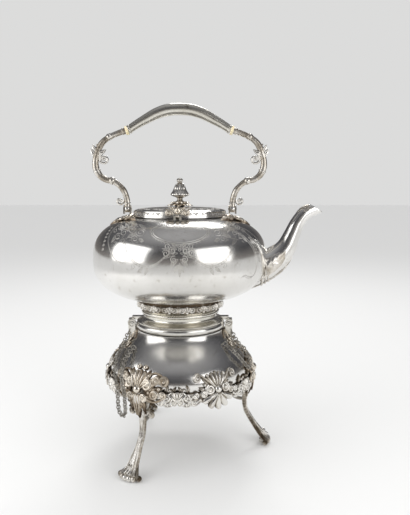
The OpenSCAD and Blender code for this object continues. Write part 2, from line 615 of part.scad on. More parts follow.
// Ears of the stand that carry the kettle's pins
ear_y = lug_w / 2 + lug_gap;
module stand_ears(side) color(cast_color) difference() {
    for (way = [0, 1]) mirror([0, way, 0]) translate([side * pin_x, ear_y, pin_z]) {
        rotate([-90, 0, 0]) cylinder(r = lug_r, h = ear_t, $fn = 32);
        translate([-lug_r, 0, -20]) cube([2 * lug_r, ear_t, 20]);
    }
    stand_outside();
    translate([0, 0, ring_low_z - eps]) cylinder(r = bead_ring_r + 0.2, h = 40, $fn = fine_fn);
    translate([side * pin_x, 0, pin_z]) rotate([90, 0, 0])
        cylinder(r = pin_r + pin_clear, h = 40, center = true, $fn = 32);
}
module stand_ears_left() stand_ears(-1);
module stand_ears_right() stand_ears(1);

// Pins with pull rings, which draw out to the front
pin_front_y = -(ear_y + ear_t + 0.5);
module pull_pin(side) color(plate_color) translate([side * pin_x, 0, pin_z]) {
    translate([0, pin_front_y - 1, 0]) rotate([-90, 0, 0])
        cylinder(r = pin_r, h = 1 - 2 * pin_front_y, $fn = 24);
    translate([0, pin_front_y - 1, 0]) rotate([-90, 0, 0])
        cylinder(r = pin_r + 0.9, h = 1, $fn = 24);
    translate([0, pin_front_y - 1, pull_ring_r]) rotate([90, 0, 0])
        scroll_ring(pull_ring_r, pull_wire_r);
}
module pin_left() pull_pin(-1);
module pin_right() pull_pin(1);

// Chain routes from the pull rings to the eyes on the shoulder: turn, gap from the stand, height
stand_reach = belly_r + apron_t;
function on_stand(p) = let (r = p[1] + (p[2] > 96 ? belly_at(p[2]) : stand_reach))
    [r * cos(p[0]), r * sin(p[0]), p[2]];
left_route = [for (p = [[190.4, 8.8, 140], [196, 6.6, 130], [204, 5.6, 119], [213, 5.6, 108],
    [220, 6.8, 98], [223.2, 5, 88], [223.4, 5.2, 78], [224, 5.4, 69.5], [225.6, 5.7, 64.4],
    [228.6, 6.4, 62], [231.8, 7.2, 64.6], [233.2, 8, 70.5], [233.2, chain_gap - 0.4, 79],
    [233.2, chain_gap, 88], [232.6, chain_gap + 3.8, 98], [230, chain_gap + 4.2, 107],
    [226, 10, 114.5], [221.4, 7.6, 121], [217, 2.7, 128.5]]) on_stand(p)];
right_route = [for (p = [[-10.4, 8.8, 140], [-11.3, 6.6, 129], [-13.2, 5.8, 119], [-15.8, 5, 110.5],
    [-18.2, 4.6, 105.6], [-21.8, 4.6, 103.4], [-25.4, 4.6, 105.6], [-28, 5.4, 110.5],
    [-30.6, 6.6, 117], [-32.5, 7, 123], [-32.6, 2.7, 131]]) on_stand(p)];
function route_length(p, i = 1) = i >= len(p) ? 0 : norm(p[i] - p[i - 1]) + route_length(p, i + 1);
function along(p, d, i = 1) = let (s = norm(p[i] - p[i - 1]))
    (d <= s || i == len(p) - 1) ? p[i - 1] + (p[i] - p[i - 1]) * d / s : along(p, d - s, i + 1);
link_pitch = 2 * (link_r - link_wire_r) - link_play;
// The last link hangs in the eye, and the links are counted from there
eye_r = 2.4;
eye_wire_r = 0.7;
eye_step = eye_r + 0.8;
module ring_at(at, ahead, behind, turn, r, wire) {
    way = (ahead - behind) / norm(ahead - behind);
    side = cross(way, [at[0], at[1], 0]) / norm(cross(way, [at[0], at[1], 0]));
    out = cross(side, way);
    multmatrix([for (k = [0:2]) [out[k], side[k], way[k], at[k]]]) rotate([90, 0, turn])
        rotate_extrude($fn = 24) translate([r, 0]) circle(r = wire, $fn = 16);
}
module chain(route) {
    curve = smooth_path(route, 4);
    total = route_length(curve) - eye_step;
    count = floor(total / link_pitch);
    for (i = [0:count]) let (d = total - i * link_pitch)
        ring_at(along(curve, d), along(curve, d + link_pitch / 2),
            along(curve, max(0, d - link_pitch / 2)), 90 * ((i + 1) % 2), link_r, link_wire_r);
}
module chain_left() color(plate_color) chain(left_route);
module chain_right() color(plate_color) chain(right_route);

module chain_eye(route) {
    curve = smooth_path(route, 4);
    total = route_length(curve);
    color(cast_color) difference() {
        ring_at(curve[len(curve) - 1], along(curve, total), along(curve, total - link_pitch), 0,
            eye_r, eye_wire_r);
        stand_outside();
    }
}
module chain_eye_left() chain_eye(left_route);
module chain_eye_right() chain_eye(right_route);

// Cast apron: a band that hangs from the belly's edge in waves, lowest beside the legs
apron_top_z = belly_edge_z + 7;
apron_steps = 120;
function apron_low(a) = belly_edge_z - 2 - apron_wave * (0.5 + 0.5 * cos(leg_count * 2 * a))
    - 1.6 * cos(leg_count * 4 * a);
module apron() color(cast_color) difference() {
    skin([for (i = [0:apron_steps - 1]) let (a = 360 * i / apron_steps,
        inner = belly_r - 5, outer = belly_r + apron_t, low = apron_low(a))
        [for (p = [[inner + 2, apron_top_z], [outer - 1.4, apron_top_z],
            [outer, apron_top_z - 3], [outer - 0.6, low + 2], [outer - 2, low],
            [outer - 5, low], [inner + 2, low + 2]])
            [p[0] * cos(a), p[0] * sin(a), p[1]]]], true);
    stand_outside();
    for (i = [0:leg_count - 1]) rotate(360 * i / leg_count) leg_block();
}

// Small shells of the apron, a pair between each leg and the next pendant
shell_angles = [for (i = [0:leg_count - 1], side = [-1, 1]) 360 * i / leg_count + 30 * side];
// Ribbed shell that opens upward, its back flat and its crest towards +X
shell_rows = 4;
function shell_point(ribs, spread, length, thick, back, i, j, top) = let (
    a = spread * (j / (2 * ribs) - 0.5),
    crest = j % 2 == 1 ? 1 : 0,
    s = (0.12 + 0.88 * i / shell_rows) * (i == shell_rows ? 0.88 + 0.12 * crest : 1))
    [top ? thick * (0.45 + 0.55 * cos(90 * i / shell_rows)) * (0.55 + 0.45 * crest) : -back,
        s * length * sin(a), s * length * cos(a)];
module scallop(ribs, spread, length, thick, back) {
    n = 2 * ribs + 1;
    m = shell_rows + 1;
    half = m * n;
    front = [for (i = [0:m - 1], j = [0:n - 1])
        shell_point(ribs, spread, length, thick, back, i, j, true)];
    rear = [for (i = [0:m - 1], j = [0:n - 1])
        shell_point(ribs, spread, length, thick, back, i, j, false)];
    faces = [for (i = [0:m - 2], j = [0:n - 2]) let (a = i * n + j, b = a + n)
        each [[a, b, a + 1], [a + 1, b, b + 1],
            [half + a, half + a + 1, half + b], [half + a + 1, half + b + 1, half + b]]];
    rim_low = [for (j = [0:n - 2]) each [[j, j + 1, half + j], [j + 1, half + j + 1, half + j]]];
    top = (m - 1) * n;
    rim_high = [for (j = [0:n - 2]) let (a = top + j)
        each [[a, half + a, a + 1], [a + 1, half + a, half + a + 1]]];
    rim_left = [for (i = [0:m - 2]) let (a = i * n, b = a + n)
        each [[a, half + a, b], [b, half + a, half + b]]];
    rim_right = [for (i = [0:m - 2]) let (a = i * n + n - 1, b = a + n)
        each [[a, b, half + a], [b, half + b, half + a]]];
    polyhedron(concat(front, rear), concat(faces, rim_low, rim_high, rim_left, rim_right));
}
module apron_shells() color(cast_color) difference() {
    for (a = shell_angles) rotate(a) translate([belly_r + apron_t - 0.4, 0, belly_edge_z + 2]) {
        translate([0, 0, -2]) scallop(5, 150, 9.5, 3.4, 4);
        translate([0.3, 0, -4.3]) rotate([0, 90, 0]) scroll_ring(2.2, 1.3);
    }
    front_block();
}
module front_block() rotate_extrude($fn = close_fn) polygon(concat([[0, ring_low_z]],
    [for (p = belly_curve) if (p[1] > apron_top_z + 0.5) p],
    [[belly_at(apron_top_z), apron_top_z], [belly_r + apron_t + eps, apron_top_z],
        [belly_r + apron_t + eps, belly_edge_z - 20], [0, belly_edge_z - 20]]));

// Cabriole legs: radius, height, half thickness, half width
leg_stations = [[belly_r - 1.4, 96, 3.4, 9], [belly_r + 0.4, 86, 5, 9.6],
    [belly_r - 2.4, 74, 4.2, 7], [belly_r - 6, 62, 3.2, 5], [belly_r - 6.6, 52, shank_half_t,
    shank_half_w], [belly_r - 4.6, 40, shank_half_t, shank_half_w],
    [feet_r - 15.6, 28, shank_half_t + 0.1, shank_half_w + 0.4],
    [feet_r - 9, 18, shank_half_t + 0.5, shank_half_w + 2],
    [feet_r - 2, 8.6, shank_half_t + 1.2, foot_half_w - 5],
    [feet_r + 4, 4.4, 4, foot_half_w - 2.6]];
leg_curve = smooth_path(leg_stations, 2);
// Bracket from the apron to the leg: side distance, height, two half thicknesses
bracket_stations = [[shank_half_w + 13, belly_edge_z + 1, 1.6, 1.8],
    [shank_half_w + 9, belly_edge_z - 5, 1.7, 2], [shank_half_w + 6.6, belly_edge_z - 12, 1.6, 2],
    [shank_half_w + 4.6, belly_edge_z - 18, 1.5, 1.8], [shank_half_w - 0.4, belly_edge_z - 22.4, 1.4,
    1.6]];
bracket_curve = smooth_path(bracket_stations, 2);
module leg_shank() skin(sections(leg_curve, 12));
module leg_block() {
    leg_shank();
    for (side = [0, 1]) mirror([0, side, 0]) translate([belly_r - 4.2, 0, 0]) {
        rotate(90) skin(sections(bracket_curve, 8));
        translate([0, shank_half_w + 8.4, belly_edge_z - 19.4]) rotate([0, 90, 0])
            scroll_ring(2.3, 1.3);
    }
    translate([belly_r - 0.6, 0, belly_edge_z - 2]) rotate([0, 13, 0]) mirror([0, 0, 1])
        scallop(3, 48, knee_shell_l, 5.4, 3);
}
toe_count = 5;
pad_r = 5;
module leg(i) color(cast_color) rotate(360 * i / leg_count) difference() {
    union() {
        leg_block();
        for (k = [0:toe_count - 1]) let (s = k - (toe_count - 1) / 2) {
            translate([feet_r + 2, s * 2.6, 3]) rotate([0, 90, s * 15])
                cylinder(r1 = 2.6, r2 = 2.2, h = 6.4 - 0.7 * abs(s), $fn = bead_fn);
            translate([feet_r + 2, s * 2.6, 3]) rotate([0, 90, s * 15])
                translate([0, 0, 6.4 - 0.7 * abs(s)]) sphere(r = 3.2 - 0.25 * abs(s), $fn = bead_fn);
        }
        translate([feet_r, 0, 0]) cylinder(r = pad_r, h = 6, $fn = 32);
        translate([feet_r + 3.5, 0, 10]) rotate([90, 0, 0]) scroll_ring(3, 1.5);
        translate([feet_r + 3.5, 0, 10]) rotate([90, 0, 0])
            cylinder(r = 2, h = 7, center = true, $fn = 24);
    }
    translate([0, 0, -20]) cylinder(r = 200, h = 20, $fn = 24);
    stand_outside();
}
module leg_1() leg(0);
module leg_2() leg(1);
module leg_3() leg(2);

// Knee ornament: a shell over a boss, with two volutes on either side
knee_z = belly_edge_z + 9;
module knee(i) color(cast_color) rotate(360 * i / leg_count) difference() {
    translate([belly_r + apron_t + 1, 0, knee_z]) {
        scallop(7, 150, knee_shell_l, 5, 8);
        translate([0.5, 0, 0]) sphere(r = 5.4, $fn = 32);
        for (side = [-1, 1]) {
            translate([-1.6, side * 0.64 * knee_scroll_y, 2]) rotate([0, 90, side * 10])
                scroll_ring(4, 1.8);
            translate([-1.4, side * 0.64 * knee_scroll_y, 2]) sphere(r = 2.7, $fn = bead_fn);
            translate([-1, side * 8, -6]) rotate([0, 90, 0]) scroll_ring(3.4, 1.7);
            translate([-2.6, side * knee_scroll_y, -3.5]) rotate([0, 90, side * 14])
                scroll_ring(3, 1.7);
        }
    }
    front_block();
    leg_block();
}
module knee_1() knee(0);
module knee_2() knee(1);
module knee_3() knee(2);

// Palmette that hangs from the apron midway between two legs
module pendant(i) color(cast_color) rotate(360 * (i + 0.5) / leg_count) difference() {
    translate([belly_r + apron_t, 0, 0]) {
        translate([0, 0, 92]) mirror([0, 0, 1]) scallop(7, 120, 21, 3.6, 1.4);
        translate([0.4, 0, 94]) sphere(r = 4.6, $fn = 32);
        translate([0, 0, 95]) scallop(3, 70, 12, 4, 5);
        for (side = [-1, 1]) translate([0, side * 9, 94]) rotate([0, 90, 0]) scroll_ring(3.6, 1.6);
    }
    front_block();
}
module pendant_1() pendant(0);
module pendant_2() pendant(1);
module pendant_3() pendant(2);

// Burner ring, its struts and the lamp
burner_ring_r = lamp_r + lamp_gap + burner_wire_r;
lamp_lip_z = lamp_z + lamp_h - 5;
burner_z = lamp_lip_z - burner_wire_r;
module burner_ring() color(cast_color) translate([0, 0, burner_z])
    rotate_extrude($fn = fine_fn) translate([burner_ring_r, 0]) circle(r = burner_wire_r, $fn = 24);
strut_foot = [belly_r - 6.6, 54];
strut_stations = [[strut_foot[0], strut_foot[1]], [strut_foot[0] - 12, strut_foot[1] + 3],
    [burner_ring_r + 12, burner_z - 10], [burner_ring_r, burner_z]];
strut_curve = [for (p = smooth_path(strut_stations, 4)) [p[0], p[1], burner_wire_r - 0.3,
    burner_wire_r - 0.3]];
module burner_strut(i) color(cast_color) rotate(360 * i / leg_count) difference() {
    skin(sections(strut_curve, 10));
    leg_shank();
    translate([0, 0, burner_z]) rotate_extrude($fn = fine_fn)
        translate([burner_ring_r, 0]) circle(r = burner_wire_r, $fn = 24);
    translate([0, 0, burner_z - 20]) cylinder(r = burner_ring_r - 1, h = 40, $fn = 48);
}
module burner_strut_1() burner_strut(0);
module burner_strut_2() burner_strut(1);
module burner_strut_3() burner_strut(2);

lamp_wall = 1.2;
lamp_top_z = lamp_z + lamp_h;
lamp_neck_r = 12;
module lamp_reservoir() color(plate_color) rotate_extrude($fn = fine_fn) difference() {
    polygon([[0, lamp_z], [lamp_r - 10, lamp_z], [lamp_r - 4, lamp_z + 3], [lamp_r - 1, lamp_z + 8],
        [lamp_r, lamp_z + 13], [lamp_r, lamp_lip_z], [burner_ring_r + 1.2, lamp_lip_z],
        [burner_ring_r + 1.2, lamp_lip_z + 1.2], [lamp_r - 1, lamp_lip_z + 2.4],
        [lamp_neck_r + 8, lamp_top_z - 0.8], [lamp_neck_r, lamp_top_z], [0, lamp_top_z]]);
    polygon([[0, lamp_z + lamp_wall], [lamp_r - 10, lamp_z + lamp_wall], [lamp_r - 5, lamp_z + 4.2],
        [lamp_r - lamp_wall - 1, lamp_z + 9], [lamp_r - lamp_wall, lamp_z + 13],
        [lamp_r - lamp_wall, lamp_lip_z], [lamp_neck_r + 6, lamp_top_z - 2.4],
        [lamp_neck_r - 2, lamp_top_z - 1.6], [lamp_neck_r - 2, lamp_top_z + 1],
        [0, lamp_top_z + 1]]);
}
collar_h = 4;
module lamp_collar() color(warm_color) difference() {
    translate([0, 0, lamp_top_z]) cylinder(r1 = lamp_neck_r, r2 = lamp_neck_r - 2, h = collar_h,
        $fn = 48);
    translate([0, 0, lamp_top_z - 1]) cylinder(r = wick_tube_r, h = collar_h + 2, $fn = 48);
}
tube_low_z = lamp_top_z - 8;
tube_top_z = lamp_top_z + collar_h + wick_tube_h;
module wick_tube() color(warm_color) difference() {
    translate([0, 0, tube_low_z]) cylinder(r = wick_tube_r, h = tube_top_z - tube_low_z, $fn = 48);
    translate([0, 0, tube_low_z - 1])
        cylinder(r = wick_tube_r - 1, h = tube_top_z - tube_low_z + 2, $fn = 48);
}
module wick() color("ivory") translate([0, 0, lamp_z + lamp_wall])
    cylinder(r = wick_tube_r - 1, h = tube_top_z + 1.5 - lamp_z - lamp_wall, $fn = 32);
cap_gap = 0.5;
cap_wall = 1;
cap_low_z = lamp_top_z + collar_h;
cap_h = wick_tube_h + 5;
module snuffer_cap() color(plate_color) translate([0, 0, cap_low_z]) union() {
    difference() {
        union() {
            cylinder(r = wick_tube_r + cap_gap + cap_wall, h = cap_h, $fn = 48);
            cylinder(r = wick_tube_r + cap_gap + cap_wall + 1, h = 1.6, $fn = 48);
        }
        translate([0, 0, -1]) cylinder(r = wick_tube_r + cap_gap, h = cap_h, $fn = 48);
    }
    translate([0, 0, cap_h - eps]) cylinder(r1 = wick_tube_r + 1, r2 = 2, h = 2, $fn = 48);
    translate([0, 0, cap_h + 3]) sphere(r = 2.6, $fn = bead_fn);
}

kettle_body();
kettle_foot();
foot_border();
spout();
spout_collar();
handle_mount_left();
handle_mount_right();
handle_pin_left();
handle_pin_right();
handle_arm_left();
handle_arm_right();
insulator_left();
insulator_right();
handle_grip();
lid();
lid_hinge_leaf();
lid_hinge_lugs();
lid_hinge_pin();
finial_flower();
finial_bud();
finial_nut();
pivot_lug_right();
hook_lug_left();
stand_shell();
bead_ring();
stand_ears_left();
stand_ears_right();
pin_left();
pin_right();
chain_left();
chain_right();
chain_eye_left();
chain_eye_right();
apron();
apron_shells();
leg_1();
leg_2();
leg_3();
knee_1();
knee_2();
knee_3();
pendant_1();
pendant_2();
pendant_3();
burner_ring();
burner_strut_1();
burner_strut_2();
burner_strut_3();
lamp_reservoir();
lamp_collar();
wick_tube();
wick();
snuffer_cap();
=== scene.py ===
import bpy
import bmesh
from math import acos, cos, exp, hypot, pi, radians, sin, sqrt
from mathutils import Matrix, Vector

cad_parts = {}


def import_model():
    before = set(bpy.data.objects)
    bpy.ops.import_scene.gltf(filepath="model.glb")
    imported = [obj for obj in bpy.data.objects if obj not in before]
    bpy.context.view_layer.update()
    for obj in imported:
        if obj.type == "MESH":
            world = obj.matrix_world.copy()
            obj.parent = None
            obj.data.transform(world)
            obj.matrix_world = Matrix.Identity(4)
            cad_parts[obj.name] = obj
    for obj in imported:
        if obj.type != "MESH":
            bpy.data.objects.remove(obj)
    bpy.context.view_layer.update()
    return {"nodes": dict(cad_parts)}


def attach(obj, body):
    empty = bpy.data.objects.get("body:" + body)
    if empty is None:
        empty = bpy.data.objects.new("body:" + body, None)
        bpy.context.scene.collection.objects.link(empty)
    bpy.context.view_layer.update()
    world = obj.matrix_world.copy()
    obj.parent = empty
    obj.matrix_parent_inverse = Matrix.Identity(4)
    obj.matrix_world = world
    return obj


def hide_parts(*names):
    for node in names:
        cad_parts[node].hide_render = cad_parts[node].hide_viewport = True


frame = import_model()
nodes = frame["nodes"]
mm = 0.001
print("kettle: frame loaded")


# ---- curves ----
def easePoint(a, b, c, d, t):
    return 0.5 * (2 * b + (c - a) * t + (2 * a - 5 * b + 4 * c - d) * t * t + (3 * b - a - 3 * c + d)
                  * t ** 3)


def smoothRows(rows, steps):
    out = []
    last = len(rows) - 1
    for i in range(last):
        four = [rows[max(i - 1, 0)], rows[i], rows[i + 1], rows[min(i + 2, last)]]
        for k in range(steps):
            t = k / steps
            out.append([easePoint(four[0][n], four[1][n], four[2][n], four[3][n], t)
                        for n in range(len(rows[0]))])
    out.append(list(rows[last]))
    return out


def rowAt(line, f):
    # sizes at the share f of a smoothed run of rows
    at = f * (len(line) - 1)
    i = min(int(at), len(line) - 2)
    return [a + (b - a) * (at - i) for a, b in zip(line[i], line[i + 1])]


def headingAt(line, i):
    a, b = line[max(i - 1, 0)], line[min(i + 1, len(line) - 1)]
    return Vector((b[0] - a[0], b[1] - a[1])).normalized()


def spiralRow(cx, cy, size, turns, start, way=1, tighten=0.12, steps=14):
    # flat spiral, from its outer end inwards
    count = max(6, int(turns * steps))
    row = []
    for k in range(count + 1):
        f = k / count
        reach = size * (1 - f) ** 0.8 + size * tighten * f
        a = start + way * turns * 2 * pi * f
        row.append((cx + reach * cos(a), cy + reach * sin(a)))
    return row


def roundTurn(count):
    return [2 * pi * k / count for k in range(count)]


def polar(reach, angle, z):
    return Vector((reach * cos(angle), reach * sin(angle), z))


def ovalRow(x, y, wide, high, steps):
    return [(x + wide * cos(a), y + high * sin(a)) for a in roundTurn(steps)]


def taper(wire, share):
    return lambda f: wire * (1 - share * f)


def bothSides(place):
    return [lambda x, y, d: place(x, y, d), lambda x, y, d: place(-x, y, d)]


# ---- mesh makers, all in millimetres until finishPiece ----
def spinProfile(bm, profile, steps=160):
    verts = [bm.verts.new((r, 0, z)) for r, z in profile]
    edges = [bm.edges.new((verts[i], verts[(i + 1) % len(verts)])) for i in range(len(verts))
             if not (profile[i][0] == 0 and profile[(i + 1) % len(verts)][0] == 0)]
    bmesh.ops.spin(bm, geom=verts + edges, cent=(0, 0, 0), axis=(0, 0, 1), angle=2 * pi,
                   steps=steps, use_merge=True)
    bmesh.ops.remove_doubles(bm, verts=bm.verts, dist=0.0005)


def addRings(bm, rings, looped=False):
    rows = [[bm.verts.new(p) for p in ring] for ring in rings]
    count = len(rows[0])
    for i in range(len(rows) if looped else len(rows) - 1):
        a, b = rows[i], rows[(i + 1) % len(rows)]
        for j in range(count):
            k = (j + 1) % count
            bm.faces.new((a[j], a[k], b[k], b[j]))
    if not looped:
        bm.faces.new(rows[0][::-1])
        bm.faces.new(rows[-1])
    return rows


def addTube(bm, path, radii, sides=10, flat=1.0, lean=None):
    # swept round bar with rounded ends; flat squashes it along lean
    points = [Vector(p) for p in path]
    last = len(points) - 1
    rings = []
    tangent = (points[1] - points[0]).normalized()
    side = lean(points[0]) if lean else tangent.orthogonal().normalized()
    for i, p in enumerate(points):
        tangent = (points[min(i + 1, last)] - points[max(i - 1, 0)]).normalized()
        if lean:
            side = lean(p)
        side = (side - tangent * side.dot(tangent)).normalized()
        other = tangent.cross(side)
        radius = radii(i / last) if callable(radii) else radii
        rings.append([p + side * (radius * flat * cos(a)) + other * (radius * sin(a))
                      for a in [2 * pi * (j + 0.5) / sides for j in range(sides)]])
    startPole = points[0] - (points[1] - points[0]).normalized() * 0.6 * (rings[0][0] - points[0]).length
    endPole = points[-1] + (points[-1] - points[-2]).normalized() * 0.6 * (rings[-1][0] - points[-1]).length
    rings.insert(0, [startPole.lerp(q, 0.55) for q in rings[0]])
    rings.append([endPole.lerp(q, 0.55) for q in rings[-1]])
    addRings(bm, rings)


def addWire(bm, place, row, lift, wire, share=0.35, sides=8):
    # tapered round wire along a flat row of points
    addTube(bm, [place(x, y, lift) for x, y in row], taper(wire, share), sides)


def beadSection(centre, outward, along, wide, high):
    return [centre + outward * (wide * cos(b)) + along * (high * sin(b)) for b in roundTurn(8)]


def addEye(bm, centre, outline, steps):
    # ring about an axis along X; its section holds radii and places on the axis
    x, y, z = centre
    addRings(bm, [[Vector((x + e, y + r * cos(a), z + r * sin(a))) for r, e in outline]
                  for a in roundTurn(steps)], True)


def addBead(bm, place, radius, sides=12):
    made = bmesh.ops.create_uvsphere(bm, u_segments=sides, v_segments=max(6, sides // 2 + 2), radius=radius)
    bmesh.ops.translate(bm, verts=made["verts"], vec=Vector(place))


def addSheet(bm, top, back, cols, rows):
    # closed slab from two matching grids of points
    front = [[bm.verts.new(top(i / rows, j / cols)) for j in range(cols + 1)] for i in range(rows + 1)]
    rear = [[bm.verts.new(back(i / rows, j / cols)) for j in range(cols + 1)] for i in range(rows + 1)]
    for i in range(rows):
        for j in range(cols):
            bm.faces.new((front[i][j], front[i][j + 1], front[i + 1][j + 1], front[i + 1][j]))
            bm.faces.new((rear[i][j], rear[i + 1][j], rear[i + 1][j + 1], rear[i][j + 1]))
    for i in range(rows):
        bm.faces.new((front[i][0], front[i + 1][0], rear[i + 1][0], rear[i][0]))
        bm.faces.new((front[i][cols], rear[i][cols], rear[i + 1][cols], front[i + 1][cols]))
    for j in range(cols):
        bm.faces.new((front[0][j], rear[0][j], rear[0][j + 1], front[0][j + 1]))
        bm.faces.new((front[rows][j], front[rows][j + 1], rear[rows][j + 1], rear[rows][j]))


def finishPiece(name, bm, body, material, replaced=(), sharp=40, relief=None):
    if relief:
        layer = bm.verts.layers.float.new("relief")
        for v in bm.verts:
            v[layer] = relief(v.co)
    bmesh.ops.scale(bm, vec=(mm, mm, mm), verts=bm.verts)
    bmesh.ops.recalc_face_normals(bm, faces=bm.faces)
    mesh = bpy.data.meshes.new(name)
    bm.to_mesh(mesh)
    bm.free()
    mesh.polygons.foreach_set("use_smooth", [True] * len(mesh.polygons))
    mesh.set_sharp_from_angle(angle=radians(sharp))
    piece = bpy.data.objects.new(name, mesh)
    bpy.context.scene.collection.objects.link(piece)
    mesh.materials.append(material)
    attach(piece, body)
    if replaced:
        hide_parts(*replaced)
    return piece


# ---- finishes ----
def newMaterial(name):
    material = bpy.data.materials.new(name)
    material.use_nodes = True
    tree = material.node_tree
    return material, tree, tree.nodes["Principled BSDF"]


def noiseNode(tree, scale, detail=4, rough=0.6, stretch=(1, 1, 1)):
    coords = tree.nodes.new("ShaderNodeTexCoord")
    mapping = tree.nodes.new("ShaderNodeMapping")
    mapping.inputs["Scale"].default_value = stretch
    noise = tree.nodes.new("ShaderNodeTexNoise")
    noise.inputs["Scale"].default_value = scale
    noise.inputs["Detail"].default_value = detail
    noise.inputs["Roughness"].default_value = rough
    tree.links.new(coords.outputs["Object"], mapping.inputs["Vector"])
    tree.links.new(mapping.outputs["Vector"], noise.inputs["Vector"])
    return noise.outputs["Fac"]


def rampNode(tree, source, stops):
    ramp = tree.nodes.new("ShaderNodeValToRGB")
    while len(ramp.color_ramp.elements) < len(stops):
        ramp.color_ramp.elements.new(0.5)
    for element, (place, colour) in zip(ramp.color_ramp.elements, stops):
        element.position = place
        element.color = (*colour, 1) if len(colour) == 3 else colour
    tree.links.new(source, ramp.inputs["Fac"])
    return ramp.outputs["Color"]


def rangeNode(tree, source, low, high, toLow, toHigh):
    node = tree.nodes.new("ShaderNodeMapRange")
    for name, value in (("From Min", low), ("From Max", high), ("To Min", toLow), ("To Max", toHigh)):
        node.inputs[name].default_value = value
    tree.links.new(source, node.inputs["Value"])
    return node.outputs["Result"]


def mixNode(tree, factor, a, b, blend="MIX"):
    node = tree.nodes.new("ShaderNodeMix")
    node.data_type = "RGBA"
    node.blend_type = blend
    for value, socket in ((factor, node.inputs["Factor"]), (a, node.inputs["A"]), (b, node.inputs["B"])):
        if hasattr(value, "is_linked"):
            tree.links.new(value, socket)
        elif isinstance(value, (int, float)):
            socket.default_value = value
        else:
            socket.default_value = (*value, 1)
    return node.outputs["Result"]


def bumpNode(tree, shader, height, strength, distance):
    bump = tree.nodes.new("ShaderNodeBump")
    bump.inputs["Strength"].default_value = strength
    bump.inputs["Distance"].default_value = distance
    tree.links.new(height, bump.inputs["Height"])
    tree.links.new(bump.outputs["Normal"], shader.inputs["Normal"])


def silverFinish(name, bright, dull, tarnish, polish, haze, cloud=9, spots=160, dirt=0.5):
    # plate that has been rubbed for a century: cloudy tone, faint rings of wear, small dark spots
    material, tree, shader = newMaterial(name)
    shader.inputs["Metallic"].default_value = 1
    clouds = noiseNode(tree, cloud, 5, 0.62)
    base = rampNode(tree, clouds, [(0.34, dull), (0.62, bright)])
    fine = noiseNode(tree, spots, 3, 0.7)
    specks = rangeNode(tree, fine, 0.6, 0.74, 0, dirt)
    colour = mixNode(tree, specks, base, tarnish)
    tree.links.new(colour, shader.inputs["Base Color"])
    scratches = noiseNode(tree, 700, 4, 0.7, (1, 1, 0.12))
    tree.links.new(rangeNode(tree, clouds, 0.3, 0.7, haze, polish), shader.inputs["Roughness"])
    bumpNode(tree, shader, scratches, 0.05, 0.0004)
    return material


def castFinish(name, bright, dull, tarnish, polish, haze, grain=420, depth=0.12):
    # cast pieces: dark in the hollows, rubbed bright on the high parts, read from the relief of each piece
    material, tree, shader = newMaterial(name)
    shader.inputs["Metallic"].default_value = 1
    attribute = tree.nodes.new("ShaderNodeAttribute")
    attribute.attribute_name = "relief"
    clouds = noiseNode(tree, 60, 5, 0.65)
    height = tree.nodes.new("ShaderNodeMath")
    height.operation = "ADD"
    tree.links.new(attribute.outputs["Fac"], height.inputs[0])
    tree.links.new(rangeNode(tree, clouds, 0.3, 0.7, -0.3, 0.3), height.inputs[1])
    colour = rampNode(tree, height.outputs["Value"], [(0.12, tarnish), (0.45, dull), (0.8, bright)])
    tree.links.new(colour, shader.inputs["Base Color"])
    tree.links.new(rangeNode(tree, height.outputs["Value"], 0.1, 0.9, haze, polish),
                   shader.inputs["Roughness"])
    bumpNode(tree, shader, noiseNode(tree, grain, 4, 0.6), depth, 0.0006)
    return material


# bright, dull and tarnished tone, roughness of rubbed and cloudy parts, then cloud and spot scale and dirt
dullSilver = (0.66, 0.645, 0.61)
plate = silverFinish("silverPlate", (0.83, 0.82, 0.80), dullSilver, (0.30, 0.25, 0.18), 0.13, 0.24)
worn = silverFinish("wornPlate", (0.76, 0.74, 0.69), (0.55, 0.52, 0.44), (0.20, 0.16, 0.10), 0.17, 0.33, 14,
                    120, 0.7)
insidePlate = silverFinish("insidePlate", (0.55, 0.52, 0.47), (0.34, 0.31, 0.27), (0.15, 0.11, 0.07), 0.32,
                           0.5,
                           30, 90, 0.8)
cast = castFinish("castSilver", (0.80, 0.775, 0.73), (0.46, 0.415, 0.35), (0.10, 0.075, 0.05), 0.2, 0.5)
warmCast = castFinish("warmCast", (0.76, 0.70, 0.61), (0.42, 0.345, 0.26), (0.085, 0.06, 0.04), 0.22, 0.5)
engraved = silverFinish("engravedLine", dullSilver, (0.46, 0.44, 0.41), (0.12, 0.095, 0.07), 0.44, 0.58, 60,
                        300, 0.6)
chainFinish = silverFinish("chainLink", (0.50, 0.48, 0.44), (0.27, 0.25, 0.22), (0.08, 0.06, 0.04), 0.34,
                           0.52,
                           90, 400, 0.8)
burnerFinish = silverFinish("burnerPlate", (0.52, 0.49, 0.44), (0.30, 0.27, 0.23), (0.10, 0.07, 0.04), 0.3,
                            0.48,
                            40, 200, 0.8)


def grainFinish(name, grain, stops, bump=None):
    # colour from one noise, with its own roughness unless that is set later
    material, tree, shader = newMaterial(name)
    fac = noiseNode(tree, *grain)
    tree.links.new(rampNode(tree, fac, stops), shader.inputs["Base Color"])
    if bump:
        bumpNode(tree, shader, fac, *bump)
    return material, tree, shader, fac


brass, tree, shader, fac = grainFinish("lampBrass", (70, 5),
                                       [(0.35, (0.30, 0.20, 0.09)), (0.65, (0.62, 0.46, 0.20))])
shader.inputs["Metallic"].default_value = 1
tree.links.new(rangeNode(tree, fac, 0.3, 0.7, 0.5, 0.28), shader.inputs["Roughness"])

